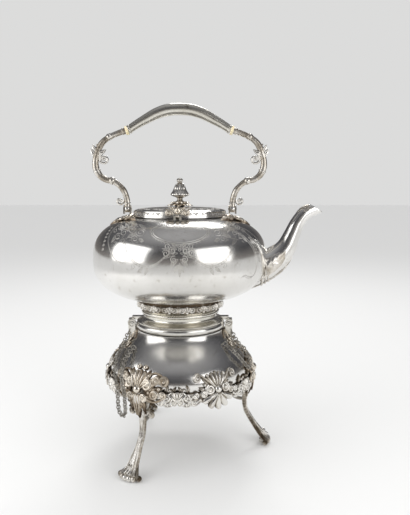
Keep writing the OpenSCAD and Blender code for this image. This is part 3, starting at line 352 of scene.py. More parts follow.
# old bone-like rings with fine grain along the handle
cream, tree, shader, fac = grainFinish("creamRing", (380, 5, 0.6, (1, 1, 5)), [
    (0.3, (0.60, 0.47, 0.26)), (0.55, (0.82, 0.73, 0.50)), (0.8, (0.90, 0.84, 0.66))], (0.2, 0.0003))
shader.inputs["Roughness"].default_value = 0.42
shader.inputs["Subsurface Weight"].default_value = 0.1
shader.inputs["Subsurface Radius"].default_value = (0.002, 0.0012, 0.0006)

cotton, tree, shader, fac = grainFinish("wickCotton", (1400, 3, 0.6, (1, 1, 0.3)), [
    (0.35, (0.42, 0.38, 0.31)), (0.65, (0.80, 0.76, 0.68))], (0.7, 0.0006))
shader.inputs["Roughness"].default_value = 0.95
print("kettle: finishes ready")

# ---- kettle body ----
bodySizes = {"radius": 99.8, "midZ": 223.5, "up": 52.5, "low": 48, "upN": 2.85, "lowN": 2.5, "wall": 1.2,
             "mouth": 47.5, "lip": 1.4}


def upperZ(r, cut=0):
    b = bodySizes
    return b["midZ"] + (b["up"] - cut) * (1 - (r / (b["radius"] - cut)) ** b["upN"]) ** (1 / b["upN"])


def bodyLine(rim, cut, steps=44):
    b = bodySizes
    reach = b["radius"] - cut
    top = acos((rim / reach) ** (b["upN"] / 2))
    line = []
    for i in range(steps + 1):
        t = pi / 2 * (1 - i / steps)
        line.append((reach * max(cos(t), 0) ** (2 / b["lowN"]) if i else 0.0,
                     b["midZ"] - (b["low"] - cut) * sin(t) ** (2 / b["lowN"])))
    for i in range(1, steps + 1):
        t = top * i / steps
        line.append((reach * cos(t) ** (2 / b["upN"]), b["midZ"] + (b["up"] - cut)
                     * sin(t) ** (2 / b["upN"])))
    return line


def makeBody():
    b = bodySizes
    rim = b["mouth"] + b["wall"]
    lipZ = upperZ(rim) + b["lip"]
    outer = bodyLine(rim, 0)
    inner = bodyLine(b["mouth"], b["wall"])
    bm = bmesh.new()
    lip = [(rim, lipZ - 0.5), (rim - 0.25, lipZ), (b["mouth"] + 0.25, lipZ), (b["mouth"], lipZ - 0.5)]
    spinProfile(bm, outer + lip + inner[::-1], 192)
    piece = finishPiece("kettleBowl", bm, "kettle", plate, ("kettle_body",))
    piece.data.materials.append(insidePlate)
    for face in piece.data.polygons:
        c = face.center / mm
        outward = face.normal.x * c.x + face.normal.y * c.y + face.normal.z * (c.z - b["midZ"]) * 1.5
        if outward < 0 and hypot(c.x, c.y) < 99:
            face.material_index = 1
    return piece


makeBody()

# arc table of the body's outline, measured from its widest line
outlineRows = bodyLine(bodySizes["mouth"] + bodySizes["wall"], 0, 240)
arcTable = []
arcAt = 0.0
for index, (r, z) in enumerate(outlineRows):
    if index:
        arcAt += hypot(r - outlineRows[index - 1][0], z - outlineRows[index - 1][1])
    before = outlineRows[max(index - 1, 0)]
    after = outlineRows[min(index + 1, len(outlineRows) - 1)]
    run = Vector((after[0] - before[0], after[1] - before[1])).normalized()
    arcTable.append((arcAt, r, z, run.y, -run.x))
midArc = arcTable[240][0]
arcTable = [(a - midArc, r, z, nr, nz) for a, r, z, nr, nz in arcTable]


def onBody(u, s, lift=0.0, turn=0.0):
    # u runs round the body from the front, s climbs its outline, both in mm on the plate
    low, high = 0, len(arcTable) - 1
    while high - low > 1:
        mid = (low + high) // 2
        if arcTable[mid][0] > s:
            high = mid
        else:
            low = mid
    a, b = arcTable[low], arcTable[high]
    f = min(max((s - a[0]) / max(b[0] - a[0], 1e-6), 0), 1)
    r, z, nr, nz = [a[k] + (b[k] - a[k]) * f for k in range(1, 5)]
    angle = -pi / 2 + turn + u / max(r, 30)
    reach = r + nr * lift
    return polar(reach, angle, z + nz * lift)


print("kettle: bowl done")


# ---- engraving of the body: fine cut lines that follow its surface ----
cutSizes = {"width": 0.9, "depth": -0.12, "crest": 1.5, "ringCrest": 0.1}


def addCut(bm, place, row, width=0.62, height=0.1, closed=False, taper=True):
    # line of triangular section, wide in the middle and fine at its ends
    rows = []
    last = len(row) - 1
    for i, (x, y) in enumerate(row):
        a = row[i - 1] if i or closed else row[0]
        b = row[(i + 1) % len(row)] if i < last or closed else row[last]
        t = Vector((b[0] - a[0], b[1] - a[1]))
        t = t.normalized() if t.length > 1e-9 else Vector((1, 0))
        w = width * cutSizes["width"] * (0.35 + 0.65 * sin(pi
                * (0.08 + 0.84 * i / last)) if taper and not closed else 1)
        rows.append([place(x - t.y * w, y + t.x * w, cutSizes["depth"]),
                     place(x + t.y * w, y - t.x * w, cutSizes["depth"]),
                     place(x, y, height * cutSizes["crest"])])
    addRings(bm, rows, closed)


def cutLeaf(bm, place, root, tip, half, bend=0.0, width=0.5, veins=3):
    root, tip = Vector(root), Vector(tip)
    along = tip - root
    across = Vector((-along.y, along.x)).normalized()
    for side in (-1, 1):
        row = []
        for k in range(15):
            f = k / 14
            q = root + along * f + across * (side * half * sin(pi * f ** 0.8)
                                             * (1 - 0.16 * abs(sin(3 * pi * f))) + bend * sin(pi * f))
            row.append((q.x, q.y))
        addCut(bm, place, row, width)
        for k in range(veins):
            f = 0.22 + 0.6 * k / max(veins, 1)
            q = root + along * f + across * (bend * sin(pi * f))
            e = root + along * min(f + 0.2, 0.97) + across * (side * half * 0.62 * sin(pi * f ** 0.8)
                    + bend * sin(pi * f))
            addCut(bm, place, [(q.x, q.y), ((q.x + e.x) / 2 + 0.1, (q.y + e.y) / 2), (e.x, e.y)],
                   width * 0.7)
    addCut(bm, place, [tuple(root + along * f + across * (bend * sin(pi * f))) for f in (0, 0.3, 0.6, 0.9)],
           width * 0.8)


def cutFlower(bm, place, x, y, size):
    for k in range(5):
        a = 2 * pi * k / 5 + 0.3
        row = [(x + size * (0.3 + 0.7 * sin(pi * f)) * cos(a + (f - 0.5) * 1.1),
                y + size * (0.3 + 0.7 * sin(pi * f)) * sin(a + (f - 0.5) * 1.1))
               for f in [n / 8 for n in range(9)]]
        addCut(bm, place, row, 0.5)
    addCut(bm, place, ovalRow(x, y, size * 0.25, size * 0.25, 8), 0.5, closed=True)


def cutOrnament(bm, at, parts):
    for spiral in parts.get("spirals", ()):
        addCut(bm, at, spiralRow(*spiral, 0.12, 16), 0.75, 0.12)
    for leaf in parts.get("leaves", ()):
        cutLeaf(bm, at, *leaf)


def cutDouble(bm, at, points, shift):
    # border line with a finer one beside it
    row = smoothRows(points, 7)
    addCut(bm, at, row, 0.85, 0.12)
    addCut(bm, at, [(x + shift[0], y + shift[1]) for x, y in row], 0.5)


clusterCuts = {
    "spirals": ((41, 41, 6.5, 1.8, 2.6, -1), (53, 45, 6.0, 1.7, 0.4, 1), (47, 32.5, 4.6, 1.5, -1.2, 1),
                (63, 40, 5.4, 1.6, 2.9, -1), (58, 53, 4.2, 1.4, -0.6, 1), (72, 47, 5.0, 1.6, 0.2, 1),
                (71, 34, 4.6, 1.5, 2.4, -1), (79, 41, 3.6, 1.3, -0.8, 1)),
    "leaves": (((36, 47), (46, 57), 2.4, 1.0), ((46, 38), (57, 33), 2.4, 0.8),
               ((58, 47), (66, 56), 2.4, -0.8),
               ((64, 33), (57, 25), 2.2, 0.8), ((67, 42), (75, 54), 2.6, 1.2),
               ((42, 33), (36, 30), 1.8, 0.5),
               ((75, 35), (80, 27), 2.2, -0.9), ((50, 50), (49, 58), 2.0, 0.4)),
}
dropCuts = {
    "spirals": ((6.5, 20.5, 4.2, 1.6, 2.8, -1), (13.0, 17.5, 3.8, 1.6, 0.2, 1),
                (5.4, 11.5, 3.4, 1.5, 2.2, -1),
                (11.5, 24.5, 3.0, 1.3, 3.4, -1)),
    "leaves": (((1.2, 24), (8, 28), 1.8, 0.6), ((1, 18), (15.5, 12), 2.0, 1.2),
               ((1, 12), (8.5, 3.5), 1.9, 0.9),
               ((2, 22), (17, 22.5), 2.0, -0.8), ((0.6, 6), (4.6, -1.5), 1.3, 0.5),
               ((31, 2.5), (35, -5), 1.7, 0.4), ((37, 3), (43, -2), 1.6, -0.4)),
}


def cutCluster(bm, at):
    # foliage beside the cartouche
    cutOrnament(bm, at, clusterCuts)
    cutFlower(bm, at, 50, 39.5, 3.4)
    cutFlower(bm, at, 66, 47.5, 2.8)
    # fine ground lines between the scrolls
    for k in range(16):
        x = 37 + 2.7 * k
        y = 50 - 0.012 * (x - 55) ** 2 + 2.2 * sin(k * 2.3)
        addCut(bm, at, [(x, y), (x + 1.1, y + 1.6), (x + 2.6, y + 2.1)], 0.45)
        addCut(bm, at, [(x, y - 16), (x + 1.3, y - 17.4), (x + 2.9, y - 17.5)], 0.45)


panelCentre = (1, 43)


def makeEngraving(name, turn, spoutSide):
    bm = bmesh.new()
    place = lambda x, y, d: onBody(x, y, d, turn)
    # blank cartouche in a double frame
    cx, cy = panelCentre
    for wide, high, line in ((30.2, 15.8, 0.95), (28.0, 13.9, 0.6)):
        addCut(bm, place, ovalRow(cx, cy, wide, high, 96), line, 0.12, True)
    for a in roundTurn(48):
        rays = ((30.9, 16.5, 0), (31.9, 17.6, 0.02), (32.2, 17.9, 0.06))
        addCut(bm, place, [(cx + wide * cos(a + lag), cy + high * sin(a + lag))
                           for wide, high, lag in rays], 0.45)
    for side in (-1, 1):
        at = bothSides(place)[0 if side > 0 else 1]
        cutCluster(bm, at)
        # acanthus and ribbons under the cartouche
        cutOrnament(bm, at, dropCuts)
        # festoon: rope with husks, from the centre out to the foliage
        rope = smoothRows([(14, 15), (20, 9.6), (27, 5.6), (34, 4.2), (42, 6.4), (49, 11), (55, 18),
                           (58, 25)], 5)
        addCut(bm, at, rope, 0.6)
        addCut(bm, at, [(x + 0.3, y - 1.9) for x, y in rope], 0.55)
        for i in range(1, len(rope) - 1, 2):
            x, y = rope[i]
            addCut(bm, at, [(x - 0.7, y + 0.8), (x + 0.1, y - 0.9), (x + 1.0, y - 2.6)], 0.5)
        addCut(bm, at, spiralRow(47.5, 3.5, 3.0, 1.3, 2.6, -1, 0.15, 14), 0.6)
        # broken border that frames the panel
        if side * spoutSide > 0:
            outer = [(62, 42), (73, 36.5), (84, 27), (92, 18), (97, 6), (96.5, -4), (91, -10.5),
                     (83, -11.5), (76, -8.5), (71, -9.5)]
            inner = [(66, 46), (79, 40.5), (93, 28), (103, 18), (110.5, 7), (111.5, -7), (107, -20),
                     (100, -31)]
            third = [(63, 50), (78, 47), (94, 36), (106, 26), (114, 12)]
            cutDouble(bm, at, outer, (-1.8, -1.2))
            for row in (inner, third):
                addCut(bm, at, smoothRows(row, 7), 0.85, 0.12)
            for k in range(9):
                cutLeaf(bm, at, (84 + 2.1 * k, 31 - 3.3 * k), (89.5 + 2.2 * k, 30 - 3.4 * k), 1.2, 0.3,
                        0.45, 1)
        else:
            outer = [(72, 60), (80, 53), (86.5, 42), (87.6, 31), (84, 22), (77, 13.5), (69, 8), (61, 6.5),
                     (56, 9)]
            cutDouble(bm, at, outer, (-1.9, -1.0))
            addCut(bm, at, spiralRow(57.5, 12.5, 3.6, 1.4, -1.3, 1, 0.14, 14), 0.6)
            for k in range(7):
                cutLeaf(bm, at, (90 + 0.5 * k, 46 - 4.6 * k), (94.5 + 0.5 * k, 44 - 4.6 * k), 1.3, 0.4,
                        0.45, 1)
    # centre line of the drop
    cutLeaf(bm, place, (0.6, 8), (0.6, -6), 1.7, 0.0)
    for y in (26, 23.5, 21):
        addCut(bm, place, ovalRow(0.6, y, 1.3, 1.1, 12), 0.45, closed=True)
    finishPiece(name, bm, "kettle", engraved, (), 30)


makeEngraving("engravingFront", 0.035, 1)
makeEngraving("engravingBack", pi - 0.035, -1)


def addRound(bm, place, y, width, steps, reach=1):
    # cut line that runs all the way round
    section = ((-width / 2, cutSizes["depth"]), (width / 2, cutSizes["depth"]), (0, cutSizes["ringCrest"]))
    addRings(bm, [[place(reach * a, y + e, d) for e, d in section] for a in roundTurn(steps)], True)


def makeShoulderCuts():
    # two rings of line round the mouth
    bm = bmesh.new()
    place = lambda a, r, d: polar(r, a, upperZ(min(r, 98)) + d)
    for r, width in ((56.6, 0.6), (58.0, 0.45)):
        addRound(bm, place, r, width, 180)
    finishPiece("shoulderLines", bm, "kettle", engraved, (), 30)


makeShoulderCuts()
print("kettle: engraving done")

# ---- foot ----
footSizes = {"top": 47, "neck": 41, "skirt": 51, "seat": 152, "wall": 2}
footJoin = 178.552
borderLow = footJoin - 10
astragal = borderLow - 5


def makeFoot():
    f = footSizes
    neckZ = f["seat"] + 6
    top, neck, skirt, seat = f["top"], f["neck"], f["skirt"], f["seat"]
    outer = [(top, footJoin + 2.4), (top, borderLow), (top - 1.6, borderLow - 0.5),
             (top - 3, borderLow - 1.5)]
    outer += [(top - r, astragal + z) for r, z in
              ((3.5, 2.5), (2.4, 2), (1.4, 1), (1.2, 0), (1.4, -1), (2.4, -2), (4, -2.4))]
    outer += [(neck + r, neckZ + z) for r, z in ((0.6, 3), (0, 0), (0.4, -1.4), (1.6, -2.6))]
    outer += [(skirt - r, seat + z) for r, z in ((6, 2.4), (3, 2), (1, 1.4), (0, 0.7), (0, 0.05))]
    inner = [(skirt - 5, seat + 0.05), (neck - 0.6, neckZ - 2.2), (neck - f["wall"], neckZ),
             (neck - f["wall"], neckZ + 3),
             (top - 6, borderLow), (top - 2, footJoin + 2.4)]
    bm = bmesh.new()
    spinProfile(bm, outer + inner, 144)
    finishPiece("kettleFoot", bm, "kettle", worn, ("kettle_foot",), sharp=35)


makeFoot()


def ringPlace(a, h, d, turn=0.0, base=47.0):
    return polar(base + d, turn + a / base, h)


def addFlatScroll(bm, place, row, thick, width, share=0.5, sides=8, lift=0.6):
    # raised scroll on a surface: place(a, h, d) puts it there
    path = [place(x, y, lift) for x, y in row]
    outward = lambda p: (place(row[0][0], row[0][1], 5) - place(row[0][0], row[0][1], 0)).normalized()
    addTube(bm, path, taper(width, share), sides, thick, outward)


def addLeaf(bm, place, root, tip, half, rise, lobes=3, curl=0.0, cols=8, rows=12, bend=0.0):
    # leaf on a surface from root to tip, with a hollow midrib and lobed edge
    root, tip = Vector(root), Vector(tip)
    along = tip - root
    across = Vector((-along.y, along.x)).normalized()

    def outline(f):
        wave = 0.78 + 0.22 * abs(cos(lobes * pi * f))
        return half * wave * sin(pi * (0.12 + 0.88 * f) ** 0.8) ** 0.75

    def spot(f, e):
        return root + along * f + across * (e * outline(f) + bend * sin(pi * f))

    def top(f, g):
        e = 2 * g - 1
        p = spot(f, e)
        ridge = 1 - 0.55 * exp(-(e * 5) ** 2) - 0.35 * e * e
        ripple = 0.12 * cos(lobes * 2 * pi * (f - 0.25 * abs(e)))
        return place(p.x, p.y, rise * (sin(pi * (0.15 + 0.8 * f)) * (ridge + ripple)) + curl * f ** 3)

    def back(f, g):
        p = spot(f, 2 * g - 1)
        return place(p.x, p.y, -0.6 + curl * f ** 3 * 0.8)

    addSheet(bm, top, back, cols, rows)


def addShell(bm, place, base, size, ribs, spread, rise, tilt=0.0, back=-1.0, notch=0.1):
    # fan with round ribs that ends in scallops
    cols = ribs * 6

    def point(f, g, front):
        a = tilt + radians(spread) * (g - 0.5)
        phase = g * ribs
        bulge = abs(sin(pi * phase))
        reach = size * (0.06 + 0.94 * f) * (1 + notch * (bulge ** 0.5 - 0.8) * f ** 3)
        x, y = base[0] + reach * sin(a), base[1] + reach * cos(a)
        d = rise * (0.35 + 0.65 * sin(pi * (0.2 + 0.62 * f))) * (0.45 + 0.55
                * bulge ** 0.8) if front else back
        return place(x, y, d)

    addSheet(bm, lambda f, g: point(f, g, True), lambda f, g: point(f, g, False), cols, 9)


borderSizes = {"count": 16, "shell": 6.4, "rise": 2.9}


def makeFootBorder():
    g = borderSizes
    bm = bmesh.new()
    base = footSizes["top"]
    spinProfile(bm, [(base - 0.4, borderLow + 0.4), (base + 1, borderLow + 0.2),
                     (base + 1.7, borderLow + 1.2), (base + 1.4, borderLow + 6),
                     (base + 1, footJoin + 1), (base - 0.4, footJoin + 1)], 128)
    step = 2 * pi / g["count"]
    for i in range(g["count"]):
        place = lambda a, h, d, t=(i + 0.5) * step: ringPlace(a, h + borderLow, d + 1.2, t, base)
        addShell(bm, place, (0, 1.4), g["shell"], 5, 150, g["rise"])
        addBead(bm, place(0, 1.4, 1.2), 1.5, 10)
        for side in (-1, 1):
            row = spiralRow(side * 5.4, 4.4, 3.2, 1.35, pi / 2 - side * pi / 2 + pi, side, 0.2, 12)
            addFlatScroll(bm, place, row, 1.2, 0.95, 0.45, 6, 1.1)
            addBead(bm, place(side * 5.4, 4.4, 1.3), 1.0, 8)
            addLeaf(bm, place, (side * 7.4, 0.4), (side * 8.4, 8.6), 1.6, 1.7, 2, 0.4, 6, 8)
    finishPiece("footBorder", bm, "kettle", cast, ("foot_border",), 50,
                lambda p: (hypot(p.x, p.y) - base - 1.0) / 3.0)


makeFootBorder()
print("kettle: foot done")

# ---- spout ----
spoutRows = [(80, 206, -35, 26, 19), (92, 211.5, -5, 20.5, 17.5), (105.5, 219, 26, 16.2, 15),
             (115.5, 227, 42, 14, 12.5),
             (124.3, 238.5, 58, 11.2, 10.3), (130.3, 252.5, 66, 9.2, 8.7), (136.3, 266, 60, 8, 7.6),
             (145, 277, 47, 7.6, 6.8),
             (156.8, 282.8, 58, 8.6, 5.6)]


def bodyReach(z):
    b = bodySizes
    if z >= b["midZ"]:
        share = min((z - b["midZ"]) / b["up"], 1)
        return b["radius"] * (1 - share ** b["upN"]) ** (1 / b["upN"])
    share = min((b["midZ"] - z) / b["low"], 1)
    return b["radius"] * (1 - share ** b["lowN"]) ** (1 / b["lowN"])


def makeSpout():
    line = smoothRows(spoutRows, 9)
    sides = 40

    def ring(row, cut, f):
        x, z, tilt, high, wide = row
        t = radians(tilt)
        points = []
        for a in [2 * pi * (j + 0.5) / sides for j in range(sides)]:
            # a raised flute on each flank and a keel under the mouth
            flute = 1 + 0.035 * cos(2 * a) * f + 0.02 * cos(6 * a) * f
            h, w = (high - cut) * flute, (wide - cut) * flute
            p = Vector((x - h * cos(a) * sin(t), w * sin(a), z + h * cos(a) * cos(t)))
            hold = bodyReach(p.z) - 0.5
            reach = hypot(p.x, p.y)
            if reach < hold and hold > 1:
                p.x, p.y = p.x * hold / reach, p.y * hold / reach
            points.append(p)
        return points

    last = len(line) - 1
    outer = [ring(row, 0, i / last) for i, row in enumerate(line)]
    inner = [ring(row, 1.2, i / last) for i, row in enumerate(line)]
    lip = [[o.lerp(n, share) + Vector((0.35, 0, 0.5)) for o, n in zip(outer[-1], inner[-1])]
           for share in (0.3, 0.7)]
    bm = bmesh.new()
    addRings(bm, outer + lip + inner[::-1], True)
    finishPiece("spoutNeck", bm, "kettle", plate, ("spout",), 50)
    return line


spoutLine = makeSpout()


def onSpout(f, a, lift):
    x, z, tilt, high, wide = rowAt(spoutLine, f)
    t = radians(tilt)
    h, w = high + lift, wide + lift
    return Vector((x - h * cos(a) * sin(t), w * sin(a), z + h * cos(a) * cos(t)))


def makeSpoutTrim():
    # moulded root ring, leaves along the neck and a leaf over the mouth
    bm = bmesh.new()
    for f, size, lift in ((0.150, 1.5, 0.3), (0.172, 0.8, 0.5), (0.192, 1.1, 0.3)):
        rings = []
        for a in roundTurn(72):
            p = onSpout(f, a, lift)
            along = (onSpout(f + 0.01, a, lift) - p).normalized()
            rings.append(beadSection(p, (onSpout(f, a, lift + 2) - p).normalized(), along, size, size))
        addRings(bm, rings, True)
    for a0, spread in ((pi / 2, 1), (-pi / 2, 1), (pi, 1), (0, 0.8)):
        place = lambda x, y, d, a0=a0: onSpout(0.2 + y, a0 + x, d)
        addLeaf(bm, place, (0, 0), (0, 0.26), 0.5 * spread, 1.3, 4, 0.2, 10, 18)
        for side in (-1, 1):
            addLeaf(bm, place, (side * 0.38, 0), (side * 0.52, 0.13), 0.22, 1.0, 3, 0.2, 6, 10)
    addLeaf(bm, lambda x, y, d: onSpout(0.965 - y, x, d), (0, -0.03), (0, 0.16), 0.75, 1.2, 4, 0.1, 12, 16)
    for side in (-1, 1):
        addLeaf(bm, lambda x, y, d, s=side: onSpout(0.965 - y, s * 1.1 + x, d), (0, -0.02), (0, 0.1), 0.4,
                0.9, 3, 0.1, 8, 10)
    finishPiece("spoutTrim", bm, "kettle", cast, ("spout_collar",), 50, lambda p: 0.62)


makeSpoutTrim()
print("kettle: spout done")

# ---- lid ----
lidSizes = {"radius": 54, "wall": 1.4, "lowZ": 273.285, "band": 7, "dome": 4.5}


def makeLid():
    l = lidSizes
    top = l["lowZ"] + l["band"]
    inner = l["radius"] - l["wall"]
    # band, as steps in from the radius and up from the lower edge
    band = ((0.2, 0.02), (0, 0.4), (0.1, 1.2), (0.7, 1.6), (1.1, 5.4), (0.8, 6), (0.9, 6.8), (1.8, 7))
    outer = [(inner - 0.6, l["lowZ"] + 0.02)] + [(l["radius"] - r, l["lowZ"] + z) for r, z in band]
    for i in range(1, 25):
        t = pi / 2 * i / 24
        # a flat rim, a shallow step and the low dome
        r = (l["radius"] - 2) * cos(t)
        outer.append((r if i < 24 else 0.0, top + l["dome"] * sin(t) - (0.35 if 40 < r < 43 else 0)))
    under = []
    for i in range(24, -1, -1):
        t = pi / 2 * i / 24
        under.append(((inner - 2) * cos(t) if i < 24 else 0.0, top - l["wall"] + l["dome"] * sin(t) - 0.05))
    bm = bmesh.new()
    spinProfile(bm, outer + under, 160)
    finishPiece("lidDome", bm, "lid", plate, ("lid",), 32)


makeLid()


def makeLidCuts():
    # scrolls on the band and on the flat rim of the lid
    l = lidSizes
    top = l["lowZ"] + l["band"]
    bm = bmesh.new()

    def onBand(x, y, d):
        # y climbs the band
        r = l["radius"] - 0.75 - 0.3 * y / l["band"] + d
        return polar(r, x / 53, l["lowZ"] + y)

    def onDome(x, y, d):
        # y runs in from the rim
        r = 51.5 - y
        share = min(r / (l["radius"] - 2), 0.999)
        return polar(r, x / 46, top + l["dome"] * sqrt(1 - share * share) + d)

    for k in range(24):
        x = 2 * pi * 53 * k / 24
        addCut(bm, onBand, [(x + q[0], q[1]) for q in spiralRow(0, 3.6, 1.5, 1.3, 0, 1, 0.15, 12)], 0.75)
        addCut(bm, onBand, [(x + 2 + 0.9 * q, 3.6 + 1.4 * sin(q * 0.7)) for q in range(11)], 0.75)
        cutLeaf(bm, onBand, (x + 5, 3.4), (x + 8.6, 5.2), 0.8, 0.2, 0.4, 1)
    for k in range(16):
        x = 2 * pi * 46 * k / 16
        addCut(bm, onDome, [(x + q[0], q[1]) for q in spiralRow(0, 5, 3.2, 1.6, 0.5, 1, 0.14, 14)], 0.85)
        addCut(bm, onDome, [(x + q[0], q[1]) for q in spiralRow(9, 6.5, 2.8, 1.4, 3.6, -1, 0.14, 14)], 0.85)
        cutLeaf(bm, onDome, (x + 3, 6), (x + 8, 11), 1.5, 0.5, 0.45, 2)
        cutLeaf(bm, onDome, (x + 11, 4), (x + 16, 7), 1.3, 0.4, 0.45, 2)
    for y, width in ((0.9, 0.6), (12.4, 0.6), (13.4, 0.4)):
        addRound(bm, onDome, y, width, 160, 46)
    finishPiece("lidLines", bm, "lid", engraved, (), 30)


makeLidCuts()


hingeAxis = (0, -56.9, 275.985)


def makeHingeLeaf():
    # cast wings over the hinge; the knuckle keeps the place of the modelled one
    l = lidSizes
    bm = bmesh.new()

    def place(x, z, d):
        return Vector((x, -(l["radius"] - 0.5) - d + 0.0042 * x * x, z))

    for s in (-1, 1):
        addLeaf(bm, place, (s * 1.5, 277.2), (s * 12.8, 283.2), 2.5, 2.4, 3, 0.5, 10, 14, s * 0.6)
        addLeaf(bm, place, (s * 2, 279.5), (s * 8, 286.0), 2.0, 2.4, 2, 0.4, 8, 12)
        row = spiralRow(s * 9.6, 279.0, 3.1, 1.5, pi / 2 + s * 0.6, -s, 0.2)
        addWire(bm, place, row, 1.6, 1.15)
        addBead(bm, place(s * 9.6, 279.0, 1.8), 1.35, 10)
        addTube(bm, [place(s * x, z, 1.6) for x, z in ((1.0, 276.2), (3.4, 278.4), (6.0, 281.0),
                (9.0, 282.3), (11.6, 281.4))], taper(1.3, 0.45), 8)
    addLeaf(bm, place, (0, 278.0), (0, 286.8), 2.8, 2.6, 2, 0.4, 10, 12)
    addBead(bm, place(0, 279.6, 1.8), 1.9, 12)
    ring = [(1.06, -1.45), (2.1, -1.45), (2.28, -1.2), (2.28, 1.2), (2.1, 1.45), (1.06, 1.45)]
    addEye(bm, hingeAxis, ring, 32)
    finishPiece("hingeWings", bm, "lid", warmCast, ("lid_hinge_leaf",), 50,
                lambda p: (-p.y - 52.5) / 3.4)


makeHingeLeaf()


# ---- finial ----
flowerZ = 284.585
budZ = flowerZ + 6


def makeFinial():
    bm = bmesh.new()
    spinProfile(bm, [(0, flowerZ + 0.3), (5, flowerZ + 0.2), (6.5, flowerZ + 1.6), (9, flowerZ + 2.2),
                     (10, flowerZ + 3.2), (7, flowerZ + 4.4), (4.4, flowerZ + 5.9), (0, flowerZ + 5.9)], 64)
    for count, start, reach, half, up, droop in ((8, 0.0, 14.8, 4.6, 2.2, -1.6),
            (8, 0.5, 11.5, 3.6, 3.6, 0.5)):
        for i in range(count):
            turn = 2 * pi * (i + start) / count

            def place(x, y, d):
                z = flowerZ + up + d + droop * (y / reach) ** 2 + 1.2 * sin(pi * min(y / reach, 1))
                return Vector((y * cos(turn) - x * sin(turn), y * sin(turn) + x * cos(turn), z))

            addLeaf(bm, place, (0, 3), (0, reach), half, 1.2, 1, 0.8, 8, 12)
    finishPiece("finialFlower", bm, "lid", warmCast, ("finial_flower",), 50,
                lambda p: 0.35 + 0.5 * ((p.z - flowerZ) / 6) + 0.3 * (hypot(p.x, p.y) / 15 - 0.5))
    low = budZ
    bm = bmesh.new()
    spinProfile(bm, [(0, low), (4.6, low), (4.4, low + 0.7), (3.3, low + 1.3), (3, low + 2.4),
                     (3.2, low + 4)] +
                [(smoothBud(5.2 + 0.6 * k), low + 5.2 + 0.6 * k)
                 for k in range(36)] + [(0.3, low + 26.9), (0, low + 27)], 64)
    for i in range(8):
        for start, half, foot, head, rise in ((0, 4.0, 5.2, 12.6, 1.5), (0.5, 3.0, 9, 16.8, 1.5),
                                              (0, 2.2, 13.5, 20.6, 1.2), (0.5, 1.3, 22, 26.6, 0.6)):
            turn = 2 * pi * (i + start) / 8

            def place(x, y, d):
                outline = smoothBud(y) + d
                a = turn + x / max(smoothBud(y), 3)
                return polar(outline, a, low + y)

            addLeaf(bm, place, (0, foot), (0, head), half, rise, 1, 0.9, 6, 12)
    finishPiece("finialBud", bm, "lid", cast, ("finial_bud",), 50,
                lambda p: 0.3 + 0.55 * (hypot(p.x, p.y) - smoothBud(p.z - low) + 0.2))


def smoothBud(y):
    rows = [(0, 4.4), (1.3, 3.2), (4, 3.2), (5.2, 5.4), (6.6, 9.0), (8, 9.6), (9.6, 8.8), (11.4, 7.4),
            (13.2, 6.5), (16, 5.7), (18.6, 4.5), (20.4, 3.0), (21.6, 2.3), (22.8, 2.8), (24.4, 3.2),
            (25.8, 2.4), (27, 0.3)]
    for (y0, r0), (y1, r1) in zip(rows, rows[1:]):
        if y <= y1:
            return r0 + (r1 - r0) * max(0, (y - y0) / (y1 - y0))
    return rows[-1][1]


makeFinial()
print("kettle: lid done")


# ---- handle ----
armRows = [(0, 2.5, 3.5, 3.5), (0.2, 10, 3.3, 3.1), (3.8, 20.6, 3.5, 3.3), (10.2, 28, 3.3, 3.2),
           (17.1, 32, 3.9, 3.7), (24, 33.2, 3.5, 3.5),
           (31, 38, 3.9, 3.7), (35.2, 46, 4.1, 3.9), (35.6, 55, 3.7, 3.7), (33.4, 63, 3.7, 3.7),
           (30.2, 71, 3.8, 3.5), (25.6, 77, 3.5, 3.5),
           (18.2, 82, 3.3, 3.3), (8.4, 86, 3.5, 3.5), (0.6, 88.4, 3.9, 3.9)]
pivot = (60.7, 282.157)


